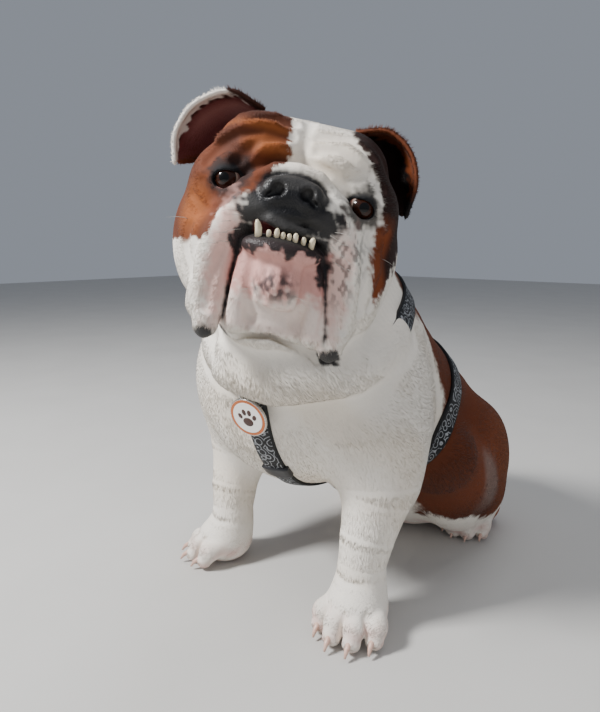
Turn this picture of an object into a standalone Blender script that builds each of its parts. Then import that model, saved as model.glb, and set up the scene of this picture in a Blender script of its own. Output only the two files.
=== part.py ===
"""A seated English bulldog, life size, in metres with +Z up.

The dog faces -Y and its own left side is at +X, with its head turned to the left and tilted.
Its flesh is one field of smoothly joined forms, meshed part by part, and parted by thin cuts.
"""
import math

import bmesh
import bpy
import numpy as np
import openvdb
from mathutils import Euler, Matrix, Vector

# Driving dimensions
OBJECT = "english_bulldog"
OFFSET = (0.0129, -0.1474, 0.0)
GAP = 0.0003
STRAP_OUT = 0.003
STRAP_IN = 0.002
STRAP_WIDTH = 0.025
NECK_LOOP = (0.0, 0.05, 0.32), (0.15, -0.36, 0.92)
GIRTH_LOOP = (0.0, 0.194, 0.20), (0, 0.70, -0.71)
TAG_RADIUS = 0.021
TAG_THICKNESS = 0.003
TAIL = (((0.004, 0.36, 0.115), 0.024), ((0.010, 0.392, 0.098), 0.019), ((0.030, 0.402, 0.075), 0.013),
        ((0.048, 0.400, 0.062), 0.008))
FLOOR = -GAP / 2
HEAD_ORIGIN = (0.079, -0.050, 0.444)
HEAD_YAW = math.radians(42)
HEAD_PITCH = math.radians(-3)
HEAD_ROLL = math.radians(12)
EYE_RADIUS = 0.0125
EAR_THICKNESS = 0.0052
LEFT_PAW, LEFT_SPLAY = (0.095, 0.036), 0.25
RIGHT_PAW, RIGHT_SPLAY = (0.110, 0.036), 0.72
HIND_PAW, HIND_SPLAY, HIND_SIZE = (0.086, 0.318), 0.15, 0.86
TOES = ((-0.029, -0.036), (-0.0105, -0.050), (0.0105, -0.050), (0.029, -0.036))
EYE_PLACE = (0.0595, 0.0125, 0.0)
BLOCK = 16
BAND = 1.9
FAR = 0.05


def turned(angles):
    return np.array(Euler(angles).to_matrix(), np.float32)


HEAD_TURN = np.array(
    (Matrix.Rotation(HEAD_YAW, 3, "Z") @ Matrix.Rotation(HEAD_PITCH, 3, "X")
     @ Matrix.Rotation(HEAD_ROLL, 3, "Y")), np.float32)


def ball(p, centre, radii, angles=(0, 0, 0)):
    """Distance to an ellipsoid."""
    q = p - np.array(centre, np.float32)
    if any(angles):
        q = q @ turned(angles)
    q = q / np.array(radii, np.float32)
    near = np.sqrt((q * q).sum(-1)) + 1e-6
    q = q / np.array(radii, np.float32)
    return near * (near - 1) / (np.sqrt((q * q).sum(-1)) + 1e-6)


def slab(p, centre, half, edge, angles=(0, 0, 0)):
    """Distance to a box with rounded edges. half is measured to the outside."""
    q = p - np.array(centre, np.float32)
    if any(angles):
        q = q @ turned(angles)
    q = np.abs(q) - (np.array(half, np.float32) - edge)
    outside = np.sqrt((np.maximum(q, 0) ** 2).sum(-1))
    return outside + np.minimum(q.max(-1), 0) - edge


def limb(p, *stations):
    """Distance to a tube through stations, each a point and a radius there."""
    found = None
    for (a, ra), (b, rb) in zip(stations, stations[1:]):
        a, b = np.array(a, np.float32), np.array(b, np.float32)
        t = np.clip((p - a) @ (b - a) / ((b - a) @ (b - a)), 0, 1)
        q = p - a - t[..., None] * (b - a)
        d = np.sqrt((q * q).sum(-1)) - (ra + t * (rb - ra))
        found = d if found is None else np.minimum(found, d)
    return found


def sheet(p, points, thickness):
    """Distance to a thick sheet given by points close together on its middle."""
    flat = p.reshape(-1, 3)
    squares = (flat * flat).sum(-1)[:, None] + (points * points).sum(-1) - 2 * flat @ points.T
    return np.sqrt(np.maximum(squares.min(-1), 0)).reshape(p.shape[:-1]) - thickness / 2


def joined(a, b, soft):
    """Both forms, with a fillet where they meet."""
    h = np.maximum(soft - np.abs(a - b), 0) / soft
    return np.minimum(a, b) - h * h * soft / 4


def carved(a, b, soft):
    """The first form without the second."""
    return -joined(-a, b, soft)


def creased(form, p, width, depth, *points):
    """A crease along a line of points, or with a negative depth a fold."""
    away = limb(p, *((point, 0) for point in points))
    return form + depth * np.exp(-((away / width) ** 2))


def mirrored(p):
    return np.concatenate([np.abs(p[..., :1]), p[..., 1:]], -1)


def within(field, p, centre, radius):
    """The field where p is near the centre, and a safe distance further off."""
    away = np.sqrt(((p - np.array(centre, np.float32)) ** 2).sum(-1)) - radius
    if (away > FAR).all():
        return away
    return field(p)


def smooth(knots, values, at):
    """A smooth curve through values at even knots, read at the places at."""
    slopes = np.gradient(values, knots)
    i = np.clip(np.searchsorted(knots, at, side="right") - 1, 0, len(knots) - 2)
    step = knots[i + 1] - knots[i]
    t = (at - knots[i]) / step
    return ((2 * t ** 3 - 3 * t ** 2 + 1) * values[i] + (t ** 3 - 2 * t ** 2 + t) * step * slopes[i]
            + (3 * t ** 2 - 2 * t ** 3) * values[i + 1] + (t ** 3 - t ** 2) * step * slopes[i + 1])


def ear_points(rim, root, bulge):
    """Points on the middle of an ear: v runs along its rim to the tip, u from root to rim."""
    v = np.linspace(0, 1, 40)
    knots = np.linspace(0, 1, 5)
    rim = np.stack([smooth(knots, np.array(rim)[:, i], v) for i in range(3)], -1)
    root = np.stack([smooth(knots, np.array(root)[:, i], v) for i in range(3)], -1)
    u = np.linspace(0, 1, 24)[:, None, None]
    swell = bulge * np.sin(np.pi * u) * np.sin(np.pi * (0.15 + 0.75 * v))[None, :, None]
    middle = root + u * (rim - root) + swell * np.array([0.62, 0.35, 0.70])
    return middle.reshape(-1, 3).astype(np.float32)


RIGHT_EAR = ear_points(
    ((.046, .060, .076), (.078, .052, .083), (.108, .050, .064), (.120, .050, .036), (.116, .050, .010)),
    ((.046, .078, .066), (.060, .094, .058), (.078, .098, .044), (.092, .086, .026), (.112, .056, .012)),
    0.014)
LEFT_EAR = ear_points(
    ((.044, .060, .074), (.072, .050, .078), (.096, .046, .062), (.107, .048, .036), (.104, .046, .006)),
    ((.044, .078, .064), (.058, .094, .056), (.074, .096, .042), (.084, .084, .024), (.101, .052, .008)),
    0.012)


def head(p):
    """The head, in its own frame: its left at +X, its nose at -Y, the eyes at Z 0."""
    a = mirrored(p)
    form = slab(a, (0, 0.082, 0.018), (0.082, 0.074, 0.053), 0.042)
    form = joined(form, ball(a, (0.062, 0.062, -0.040), (0.046, 0.056, 0.058)), 0.030)
    form = joined(form, ball(a, (0.062, 0.045, -0.066), (0.033, 0.045, 0.046)), 0.020)
    form = joined(form, ball(p, (0.060, 0.036, -0.086), (0.032, 0.038, 0.036)), 0.020)
    form = joined(form, ball(a, (0.040, 0.016, 0.030), (0.032, 0.017, 0.022)), 0.014)
    form = joined(form, ball(a, (0, 0.040, -0.055), (0.064, 0.048, 0.056)), 0.020)
    form = joined(form, ball(a, (0, 0.036, -0.112), (0.052, 0.046, 0.034)), 0.02)
    form = joined(form, muzzle(p, a), 0.008)
    form = joined(form, jaw(p, a), 0.003)
    form = lids(form, a)
    return wrinkled(form, a)


def muzzle(p, a):
    """The nose, the fold over it, the cushions beside it and the hanging upper lips."""
    form = ball(a, (0.030, 0.006, -0.016), (0.031, 0.028, 0.024))
    form = joined(form, ball(a, (0.020, -0.004, -0.0195), (0.025, 0.020, 0.0115), (0, 0.22, 0)), 0.006)
    form = joined(form, limb(a, ((0.044, 0.006, -0.028), 0.024), ((0.057, 0.010, -0.060), 0.020)), 0.010)
    for side, tip in ((1, (0.0565, 0.000, -0.1160)), (-1, (0.0515, -0.001, -0.1150))):
        q = p * np.array((side, 1, 1), np.float32)
        flew = slab(q, (0.0575, 0.010, -0.078), (0.0195, 0.022, 0.046), 0.017, (0, 0.05, 0))
        flew = joined(flew, ball(q, tip, (0.0115, 0.0105, 0.0135)), 0.008)
        form = joined(form, flew, 0.010)
    roll = limb(a, ((0, -0.003, 0.0135), 0.0110), ((0.018, -0.002, 0.0115), 0.0110),
                ((0.036, 0.003, -0.001), 0.012), ((0.050, 0.010, -0.018), 0.014))
    form = joined(form, roll, 0.006)
    nose = ball(a, (0, -0.0165, -0.0055), (0.0285, 0.013, 0.0165))
    nose = joined(nose, ball(a, (0.0140, -0.0210, -0.0060), (0.0125, 0.0095, 0.0135)), 0.004)
    form = joined(form, nose, 0.004)
    form = carved(form, ball(a, (0.0120, -0.0330, -0.0035), (0.0056, 0.0105, 0.0058), (0, 0.5, 0)), 0.002)
    form = carved(form, ball(a, (0.0185, -0.0320, -0.0095), (0.0055, 0.008, 0.0018), (0, 0.6, 0)), 0.002)
    form = creased(form, a, 0.0018, 0.0025, (0, -0.033, 0.002), (0, -0.031, -0.014), (0, -0.022, -0.030))
    return form


def jaw(p, a):
    """The lower jaw, which stands in front of the upper lip, and its hanging lip folds."""
    form = ball(a, (0, 0.004, -0.078), (0.042, 0.034, 0.036))
    form = joined(form, ball(a, (0, -0.0085, -0.0525), (0.038, 0.024, 0.0125)), 0.012)
    folds = limb(a, ((0.030, 0.004, -0.070), 0.016), ((0.0325, 0.004, -0.095), 0.0145),
                 ((0.0355, 0.005, -0.1155), 0.0125))
    form = joined(form, folds, 0.008)
    form = carved(form, slab(a, (0, -0.020, -0.0365), (0.029, 0.026, 0.0058), 0.005), 0.003)
    for at in (0.0, 0.017):
        form = creased(form, a, 0.0055, 0.0022, (at, -0.029, -0.068), (at * 1.1, -0.028, -0.088),
                       (at, -0.02, -0.104))
    return form


def lids(form, a):
    """Each eye's lids, which stand over its ball, open in front."""
    x, y, z = EYE_PLACE
    form = joined(form, ball(a, (0.072, 0.030, 0.000), (0.022, 0.026, 0.028)), 0.016)
    form = joined(form, ball(a, (x, y, z), (EYE_RADIUS + 0.0028,) * 3), 0.006)
    opening = ball(a, (x - 0.0008, y - 0.0135, z - 0.0005), (0.0122, 0.0125, 0.0092), (0, 0.15, 0))
    form = carved(form, opening, 0.0015)
    return creased(form, a, 0.0035, 0.0012, (x - 0.012, y - 0.010, z - 0.004),
                   (x - 0.006, y - 0.012, z - 0.0135), (x + 0.006, y - 0.012, z - 0.0145))


def wrinkled(form, a):
    """The creases over the nose fold, beside the muzzle, on the forehead and round the eyes."""
    form = creased(form, a, 0.0045, 0.0075, (0, 0.002, 0.0270), (0.020, 0.002, 0.0240),
                   (0.038, 0.005, 0.011), (0.047, 0.003, -0.006))
    form = creased(form, a, 0.005, 0.004, (0.056, 0.006, -0.016), (0.0675, 0.010, -0.032),
                   (0.075, 0.014, -0.060), (0.078, 0.018, -0.085))
    form = creased(form, a, 0.005, 0.005, (0, 0.006, 0.040), (0, 0.026, 0.072), (0, 0.07, 0.076))
    form = creased(form, a, 0.0045, 0.0040, (0.010, 0.002, 0.044), (0.036, -0.003, 0.050),
                   (0.062, 0.010, 0.042), (0.080, 0.035, 0.014))
    form = creased(form, a, 0.0045, 0.0035, (0.012, 0.012, 0.062), (0.042, 0.014, 0.064),
                   (0.070, 0.034, 0.052))
    return creased(form, a, 0.004, 0.0025, (0.050, 0.000, -0.020), (0.068, 0.008, -0.022),
                   (0.082, 0.02, -0.012))


def torso(p, a):
    """The barrel, from the shoulders to the rump, with the shoulders and the haunches."""
    spine = limb(p, ((-0.012, 0.090, 0.265), 0.108), ((-0.006, 0.170, 0.220), 0.110),
                 ((0, 0.245, 0.155), 0.113), ((0, 0.290, 0.105), 0.108))
    form = joined(spine, ball(p, (-0.016, 0.062, 0.245), (0.118, 0.106, 0.116)), 0.05)
    form = joined(form, ball(p, (0.078, 0.088, 0.220), (0.052, 0.072, 0.095), (0.3, 0, 0)), 0.03)
    form = joined(form, ball(p, (-0.102, 0.072, 0.225), (0.050, 0.076, 0.100), (0.3, 0, 0)), 0.03)
    form = joined(form, ball(a, (0.088, 0.285, 0.105), (0.050, 0.092, 0.092), (0.2, 0, 0)), 0.025)
    return creased(form, p, 0.016, 0.006, (-0.014, -0.045, 0.225), (-0.012, -0.035, 0.185),
                   (-0.008, 0.0, 0.145))


def neck(p):
    """The thick neck, with the fold of loose skin under the throat."""
    form = limb(p, ((-0.010, 0.12, 0.29), 0.096), ((-0.008, 0.085, 0.35), 0.088),
                ((0.0, 0.045, 0.41), 0.078))
    form = joined(form, ball(p, (0.026, 0.004, 0.330), (0.078, 0.062, 0.062), (0, 0, 0.7)), 0.03)
    dewlap = limb(p, ((0.012, -0.052, 0.300), 0.026), ((0.048, -0.036, 0.291), 0.030),
                  ((0.080, 0.002, 0.300), 0.032))
    return joined(form, dewlap, 0.012)


def foreleg(p, side, place, splay):
    """A foreleg. place is the middle of its wrist, on the floor."""
    q = p * np.array((side, 1, 1), np.float32) - np.array((*place, 0), np.float32)
    form = limb(q, ((-0.006, 0.032, 0.20), 0.050), ((0.004, 0.024, 0.15), 0.039),
                ((0.002, 0.008, 0.10), 0.0300), ((0.0, 0.002, 0.070), 0.0265), ((0.0, 0.0, 0.05), 0.028))
    return joined(form, paw(q, splay, 1.0), 0.012)


def paw(p, splay, size):
    """A paw, with four toes spread in front of its middle."""
    q = p @ turned((0, 0, splay)) / size
    form = ball(q, (0, -0.010, 0.026), (0.034, 0.036, 0.030))
    for x, y in TOES:
        toe = limb(q, ((x * 0.8, y * 0.45, 0.026), 0.013), ((x, y * 0.85, 0.020), 0.0125),
                   ((x * 1.03, y, 0.012), 0.0105))
        form = joined(form, toe, 0.004)
    return form * size


def hindleg(a):
    """A hind leg folded under the haunch, with its hock on the floor behind the paw."""
    form = limb(a, ((0.096, 0.20, 0.14), 0.045), ((0.098, 0.29, 0.07), 0.038),
                ((0.088, 0.335, 0.036), 0.030))
    form = joined(form, limb(a, ((0.088, 0.350, 0.022), 0.021), ((0.084, 0.31, 0.022), 0.022)), 0.02)
    return joined(form, paw(a - np.array((*HIND_PAW, 0), np.float32), HIND_SPLAY, HIND_SIZE), 0.01)


def trunk(p, a):
    return joined(torso(p, a), neck(p), 0.04)


def flesh(p):
    a = mirrored(p)
    form = trunk(p, a)
    form = joined(form, foreleg(p, 1, LEFT_PAW, LEFT_SPLAY), 0.03)
    form = joined(form, foreleg(p, -1, RIGHT_PAW, RIGHT_SPLAY), 0.03)
    form = joined(form, hindleg(a), 0.02)
    local = (p - np.array(HEAD_ORIGIN, np.float32)) @ HEAD_TURN
    skull = within(head, local, (0, 0.05, -0.02), 0.17)
    return joined(form, skull, 0.02)


def placed_flesh(p):
    return flesh(p - np.array(OFFSET, np.float32))


def meshed(name, field, low, high, voxel):
    """A mesh of the field's zero level, sampled in blocks only where the surface passes."""
    low, high = np.array(low), np.array(high)
    side = BLOCK * voxel
    counts = np.ceil((high - low) / side).astype(int)
    steps = np.arange(BLOCK, dtype=np.float32) * voxel
    inner = np.stack(np.meshgrid(steps, steps, steps, indexing="ij"), -1)
    grid = openvdb.FloatGrid(background=side)
    middles = low + (np.stack(np.meshgrid(*map(np.arange, counts), indexing="ij"), -1) + 0.5) * side
    depth = field(middles.reshape(-1, 3).astype(np.float32)).reshape(counts)
    for i, j, k in np.ndindex(*counts):
        corner = (i * BLOCK, j * BLOCK, k * BLOCK)
        if abs(depth[i, j, k]) > BAND * side:
            if depth[i, j, k] < 0:
                grid.fill(corner, [c + BLOCK - 1 for c in corner], -side)
            continue
        points = (low + np.array(corner) * voxel).astype(np.float32) + inner
        grid.copyFromArray(field(points), ijk=corner)
    grid.transform = openvdb.createLinearTransform(voxelSize=voxel)
    points, quads = grid.convertToQuads(isovalue=0)
    mesh = bpy.data.meshes.new(name)
    mesh.from_pydata(points + low, [], quads)
    return mesh


def shown(name, mesh, collection):
    obj = bpy.data.objects.new(name, mesh)
    collection.objects.link(obj)
    return obj


def settled(obj):
    """The object with its modifiers applied, and only its largest closed surface kept."""
    made = bpy.data.meshes.new_from_object(obj.evaluated_get(bpy.context.evaluated_depsgraph_get()))
    obj.modifiers.clear()
    shape = bmesh.new()
    shape.from_mesh(made)
    bmesh.ops.remove_doubles(shape, verts=shape.verts, dist=0.000002)
    left = set(shape.verts)
    islands = []
    while left:
        island = {left.pop()}
        edge = list(island)
        while edge:
            for link in edge.pop().link_edges:
                for vert in link.verts:
                    if vert in left:
                        left.discard(vert)
                        island.add(vert)
                        edge.append(vert)
        islands.append(island)
    largest = max(islands, key=len)
    bmesh.ops.delete(shape, geom=[v for v in shape.verts if v not in largest], context="VERTS")
    bmesh.ops.triangulate(shape, faces=shape.faces)
    bmesh.ops.dissolve_degenerate(shape, dist=0.00001, edges=shape.edges)
    bmesh.ops.delete(shape, geom=[e for e in shape.edges if not e.link_faces], context="EDGES")
    bmesh.ops.holes_fill(shape, edges=[e for e in shape.edges if len(e.link_faces) < 2], sides=0)
    bmesh.ops.triangulate(shape, faces=shape.faces)
    shape.to_mesh(made)
    shape.free()
    obj.data = made
    return obj


def thinned(obj, faces):
    triangles = sum(len(face.vertices) - 2 for face in obj.data.polygons)
    tool = obj.modifiers.new("thinned", "DECIMATE")
    tool.ratio = min(1, faces / triangles)
    tool.use_collapse_triangulate = True
    return settled(obj)


def cut(obj, operation, *others):
    for other in others:
        tool = obj.modifiers.new(operation.lower(), "BOOLEAN")
        tool.operation = operation
        tool.object = other
    return settled(obj)


def cutter(name, mesh):
    obj = shown(name, mesh, bpy.data.collections["cutters"])
    obj.hide_render = True
    obj.display_type = "WIRE"
    return obj


def block(name, region, grow):
    """A box cutter. A region is two opposite corners, and the place and turn of its own frame."""
    low, high, place, turn = region
    shape = bmesh.new()
    bmesh.ops.create_cube(shape, size=1)
    size = [b - a + 2 * grow for a, b in zip(low, high)]
    middle = Vector([(a + b) / 2 for a, b in zip(low, high)])
    shape.transform(Matrix.Diagonal((*size, 1)))
    shape.transform(Matrix.Translation(middle))
    shape.transform(Matrix.Translation(Vector(place) + Vector(OFFSET)) @ turn.to_4x4())
    mesh = bpy.data.meshes.new(name)
    shape.to_mesh(mesh)
    shape.free()
    return cutter(name, mesh)


def grown(obj, by, faces):
    """A cutter of the object's own shape with fewer faces, moved out along its normals."""
    made = cutter(obj.name + "_grown", obj.data.copy())
    if faces < len(made.data.polygons):
        thinned(made, faces)
    normals = [v.normal.copy() for v in made.data.vertices]
    for vert, normal in zip(made.data.vertices, normals):
        vert.co += normal * by


def coloured(obj, colour, roughness):
    material = bpy.data.materials.new(obj.name)
    material.use_nodes = True
    shader = material.node_tree.nodes["Principled BSDF"]
    shader.inputs["Base Color"].default_value = (*colour, 1)
    shader.inputs["Roughness"].default_value = roughness
    shader.inputs["Metallic"].default_value = 0
    obj.data.materials.clear()
    obj.data.materials.append(material)
    obj.data.shade_smooth()
    return obj


def spikes(name, field_frame, entries):
    """Small cones for teeth or claws. Each entry is a base, a tip and a base radius."""
    shape = bmesh.new()
    for base, tip, radius in entries:
        base, tip = Vector(base), Vector(tip)
        axis = tip - base
        made = bmesh.ops.create_cone(shape, cap_ends=True, segments=6, radius1=radius,
                                     radius2=radius * 0.3, depth=axis.length)["verts"]
        bmesh.ops.transform(shape, verts=made, matrix=Matrix.Translation((base + tip) / 2)
                            @ axis.to_track_quat("Z", "Y").to_matrix().to_4x4())
    shape.transform(field_frame)
    mesh = bpy.data.meshes.new(name)
    shape.to_mesh(mesh)
    shape.free()
    return cutter(name, mesh)


def head_frame():
    turn = Matrix(HEAD_TURN.tolist()).to_4x4()
    return Matrix.Translation(Vector(HEAD_ORIGIN) + Vector(OFFSET)) @ turn


def slope(p):
    """The outward direction of the flesh at each point."""
    step = 0.001
    ways = np.eye(3, dtype=np.float32) * step
    rise = [flesh(p + way) - flesh(p - way) for way in ways]
    rise = np.stack(rise, -1)
    return rise / (np.linalg.norm(rise, axis=-1, keepdims=True) + 1e-9)


def laid(p):
    """Points moved onto the flesh."""
    for _ in range(6):
        p = p - slope(p) * flesh(p)[..., None]
    return p


def loop_round(centre, normal, count):
    """Points round the body where a plane cuts it."""
    centre, normal = np.array(centre, np.float32), np.array(normal, np.float32)
    normal /= np.linalg.norm(normal)
    across = np.cross(normal, (1, 0, 0))
    across /= np.linalg.norm(across)
    over = np.cross(across, normal)
    turn = np.linspace(0, 2 * np.pi, count, endpoint=False)[:, None]
    ways = (np.cos(turn) * across + np.sin(turn) * over).astype(np.float32)
    reach = np.linspace(0.03, 0.22, 200, dtype=np.float32)
    rays = centre + ways[:, None] * reach[:, None]
    depth = trunk(rays, mirrored(rays))
    out = reach[np.argmax(depth > 0, axis=1)]
    return laid(centre + ways * out[:, None])


def path_through(points, count):
    """A path on the flesh through points, which stops at the girth strap."""
    points = np.array(points, np.float32)
    knots = np.linspace(0, 1, len(points))
    at = np.linspace(0, 1, 300)
    fine = laid(np.stack([smooth(knots, points[:, i], at) for i in range(3)], -1).astype(np.float32))
    centre, normal = GIRTH_LOOP
    normal = np.array(normal) / np.linalg.norm(normal)
    fine = fine[np.abs((fine - centre) @ normal) > STRAP_WIDTH / 2 + 3 * GAP]
    return fine[np.linspace(0, len(fine) - 1, count).round().astype(int)]


def strap(name, path, width, height, depth, closed):
    """The mesh of a flat strap laid along a path on the flesh, its height above it and depth under it."""
    path = path.astype(np.float32)
    if closed:
        along = np.roll(path, -1, 0) - np.roll(path, 1, 0)
    else:
        along = np.gradient(path, axis=0)
    out = slope(path)
    aside = np.cross(out, along)
    aside /= np.linalg.norm(aside, axis=-1, keepdims=True)
    across = np.linspace(-0.5, 0.5, 4, dtype=np.float32) * width
    rows = laid(path[:, None] + aside[:, None] * across[:, None])
    out = slope(rows)
    shape = bmesh.new()
    rings = []
    for row, way in zip(rows, out):
        top = [shape.verts.new(p + w * height) for p, w in zip(row, way)]
        under = [shape.verts.new(p - w * depth) for p, w in zip(row, way)]
        rings.append(top + under[::-1])
    pairs = list(zip(rings, rings[1:]))
    if closed:
        pairs.append((rings[-1], rings[0]))
    for one, two in pairs:
        for i in range(8):
            j = (i + 1) % 8
            shape.faces.new((one[i], one[j], two[j], two[i]))
    if not closed:
        shape.faces.new(rings[0][::-1])
        shape.faces.new(rings[-1])
    bmesh.ops.recalc_face_normals(shape, faces=shape.faces)
    shape.transform(Matrix.Translation(OFFSET))
    mesh = bpy.data.meshes.new(name)
    shape.to_mesh(mesh)
    shape.free()
    return mesh


HEAD_AT = (HEAD_ORIGIN, Matrix(HEAD_TURN.tolist()))
FLAT = ((0, 0, 0), Matrix.Identity(3))
# Each box that parts the flesh. Its floor is low by what the cut takes off, so that the part ends at Z 0.
REGIONS = {
    "head": ((-0.14, -0.06, -0.133), (0.14, 0.130, 0.12), *HEAD_AT),
    "neck": ((-0.25, -0.25, 0), (0.25, 0.25, 0.3), (0, 0.11, 0.305), Matrix.Rotation(0.305, 3, "X")),
    "forepaw_left": ((0.03, -0.06, FLOOR), (0.17, 0.10, 0.052), *FLAT),
    "forepaw_right": ((-0.21, -0.06, FLOOR), (-0.04, 0.11, 0.052), *FLAT),
    "foreleg_left": ((0.046, -0.03, FLOOR), (0.17, 0.086, 0.160), *FLAT),
    "foreleg_right": ((-0.18, -0.03, FLOOR), (-0.052, 0.086, 0.160), *FLAT),
    "hind_paw_left": ((0.052, 0.22, FLOOR), (0.15, 0.325, 0.046), *FLAT),
    "hind_paw_right": ((-0.15, 0.22, FLOOR), (-0.052, 0.325, 0.046), *FLAT),
    "thigh_left": ((0.074, 0.209, FLOOR), (0.17, 0.41, 0.188), *FLAT),
    "thigh_right": ((-0.17, 0.209, FLOOR), (-0.074, 0.41, 0.188), *FLAT),
    "torso": ((-0.3, -0.3, FLOOR), (0.3, 0.6, 0.6), *FLAT),
}
WHITE, BROWN, BLACK, PINK = (0.72, 0.66, 0.58), (0.22, 0.075, 0.03), (0.012, 0.011, 0.012), (0.5, 0.27, 0.22)
# Each flesh part: sample spacing, faces, colour, and the regions cut out of it
FLESH = {
    "head": (0.0022, 5200, WHITE, ()),
    "neck": (0.005, 600, WHITE, ("head",)),
    "forepaw_left": (0.0025, 900, WHITE, ()),
    "forepaw_right": (0.0025, 900, WHITE, ()),
    "foreleg_left": (0.004, 320, WHITE, ("forepaw_left",)),
    "foreleg_right": (0.004, 320, WHITE, ("forepaw_right",)),
    "hind_paw_left": (0.0025, 600, WHITE, ()),
    "hind_paw_right": (0.0025, 600, WHITE, ()),
    "thigh_left": (0.005, 450, BROWN, ("hind_paw_left",)),
    "thigh_right": (0.005, 450, BROWN, ("hind_paw_right",)),
    "torso": (0.005, 2000, BROWN, ("neck", "head", "foreleg_left", "foreleg_right", "hind_paw_left",
                                   "hind_paw_right", "thigh_left", "thigh_right")),
}


def reach_of(name):
    """The box, with sides along the axes, that holds a region and stays near the body."""
    low, high, place, turn = REGIONS[name]
    corners = np.array([[x, y, z] for x in (low[0], high[0]) for y in (low[1], high[1])
                        for z in (low[2], high[2])])
    corners = corners @ np.array(turn).T + np.array(place)
    low = np.maximum(corners.min(0), (-0.2, -0.15, -0.03)) + np.array(OFFSET) - 0.012
    high = np.minimum(corners.max(0), (0.18, 0.43, 0.57)) + np.array(OFFSET) + 0.012
    return low, high


def flesh_part(name):
    """One part of the flesh, meshed over its own box and parted from its neighbours by the gap."""
    voxel, faces, colour, without = FLESH[name]
    low, high = reach_of(name)
    limit = np.array(low + 0.006, np.float32), np.array(high - 0.006, np.float32)

    def bounded(p):
        edge = np.maximum(limit[0] - p, p - limit[1]).max(-1)
        return np.maximum(placed_flesh(p), edge)

    obj = shown(name, meshed(name, bounded, low, high, voxel), bpy.data.collections[OBJECT])
    thinned(obj, faces)
    if name == "head":
        grown(obj, 0.0010, 1000)
    if name in ("neck", "torso"):
        grown(obj, 0.0005, len(obj.data.polygons))
    cut(obj, "INTERSECT", block(name + "_keep", REGIONS[name], -GAP / 2))
    for other in without:
        cut(obj, "DIFFERENCE", block(name + "_less_" + other, REGIONS[other], GAP / 2))
    return coloured(obj, colour, 0.75)


def eyes(skull):
    """The eyeballs, in sockets of the same shape that are wider by the gap."""
    for name, side in (("eye_left", 1), ("eye_right", -1)):
        place = head_frame() @ Matrix.Translation((side * EYE_PLACE[0], *EYE_PLACE[1:]))
        for grow in (0, GAP):
            shape = bmesh.new()
            bmesh.ops.create_uvsphere(shape, u_segments=18, v_segments=10, radius=EYE_RADIUS + grow)
            shape.transform(place @ Matrix.Rotation(math.pi / 2, 4, "X"))
            mesh = bpy.data.meshes.new(name)
            shape.to_mesh(mesh)
            shape.free()
            if grow:
                cut(skull, "DIFFERENCE", cutter(name + "_socket", mesh))
            else:
                coloured(shown(name, mesh, bpy.data.collections[OBJECT]), (0.03, 0.012, 0.006), 0.08)


def ears():
    """The folded rose ears, cut where they grow out of the head."""
    shell = bpy.data.objects["head_grown"]
    for name, points, side in (("ear_left", LEFT_EAR, 1), ("ear_right", RIGHT_EAR, -1)):
        mesh = meshed(name, lambda p: sheet(p, points, EAR_THICKNESS), (0.03, 0.02, -0.02),
                      (0.14, 0.13, 0.11), 0.0022)
        mesh.transform(head_frame() @ Matrix.Diagonal((side, 1, 1, 1)))
        if side < 0:
            mesh.flip_normals()
        obj = shown(name, mesh, bpy.data.collections[OBJECT])
        thinned(obj, 620)
        cut(obj, "DIFFERENCE", shell)
        coloured(obj, (0.06, 0.03, 0.02) if side > 0 else WHITE, 0.75)


def teeth(skull):
    entries = [((-0.0265, -0.0235, -0.0425), (-0.0275, -0.0275, -0.0290), 0.0030),
               ((0.0255, -0.0235, -0.0430), (0.0265, -0.0270, -0.0330), 0.0026)]
    for x, rise in ((-0.017, 0.0050), (-0.0105, 0.0040), (-0.004, 0.0050), (0.003, 0.0040), (0.0095, 0.0040),
                    (0.0165, 0.0035)):
        entries.append(((x, -0.0285, -0.0430), (x, -0.0290, -0.0385 + rise), 0.0019))
    cut(skull, "UNION", spikes("teeth", head_frame(), entries))


def claws(name, side, place, splay, size):
    turn = Matrix.Translation(OFFSET) @ Matrix.Diagonal((side, 1, 1, 1)) @ Matrix.Translation((*place, 0))
    turn = turn @ Matrix.Rotation(splay, 4, "Z") @ Matrix.Scale(size, 4)
    entries = [((x * 1.03, y - 0.002, 0.0135), (x * 1.05, y - 0.0175, 0.0045), 0.0036) for x, y in TOES]
    tool = spikes(name + "_claws", turn, entries)
    if side < 0:
        tool.data.flip_normals()
    cut(bpy.data.objects[name], "UNION", tool)


def tail():
    """The short screw tail, cut where it comes out of the rump."""
    mesh = meshed("tail", lambda p: limb(p - np.array(OFFSET, np.float32), *TAIL), (-0.1, 0.2, 0.0),
                  (0.2, 0.6, 0.22), 0.004)
    obj = shown("tail", mesh, bpy.data.collections[OBJECT])
    thinned(obj, 260)
    cut(obj, "DIFFERENCE", bpy.data.objects["torso_grown"])
    coloured(obj, WHITE, 0.75)


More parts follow.
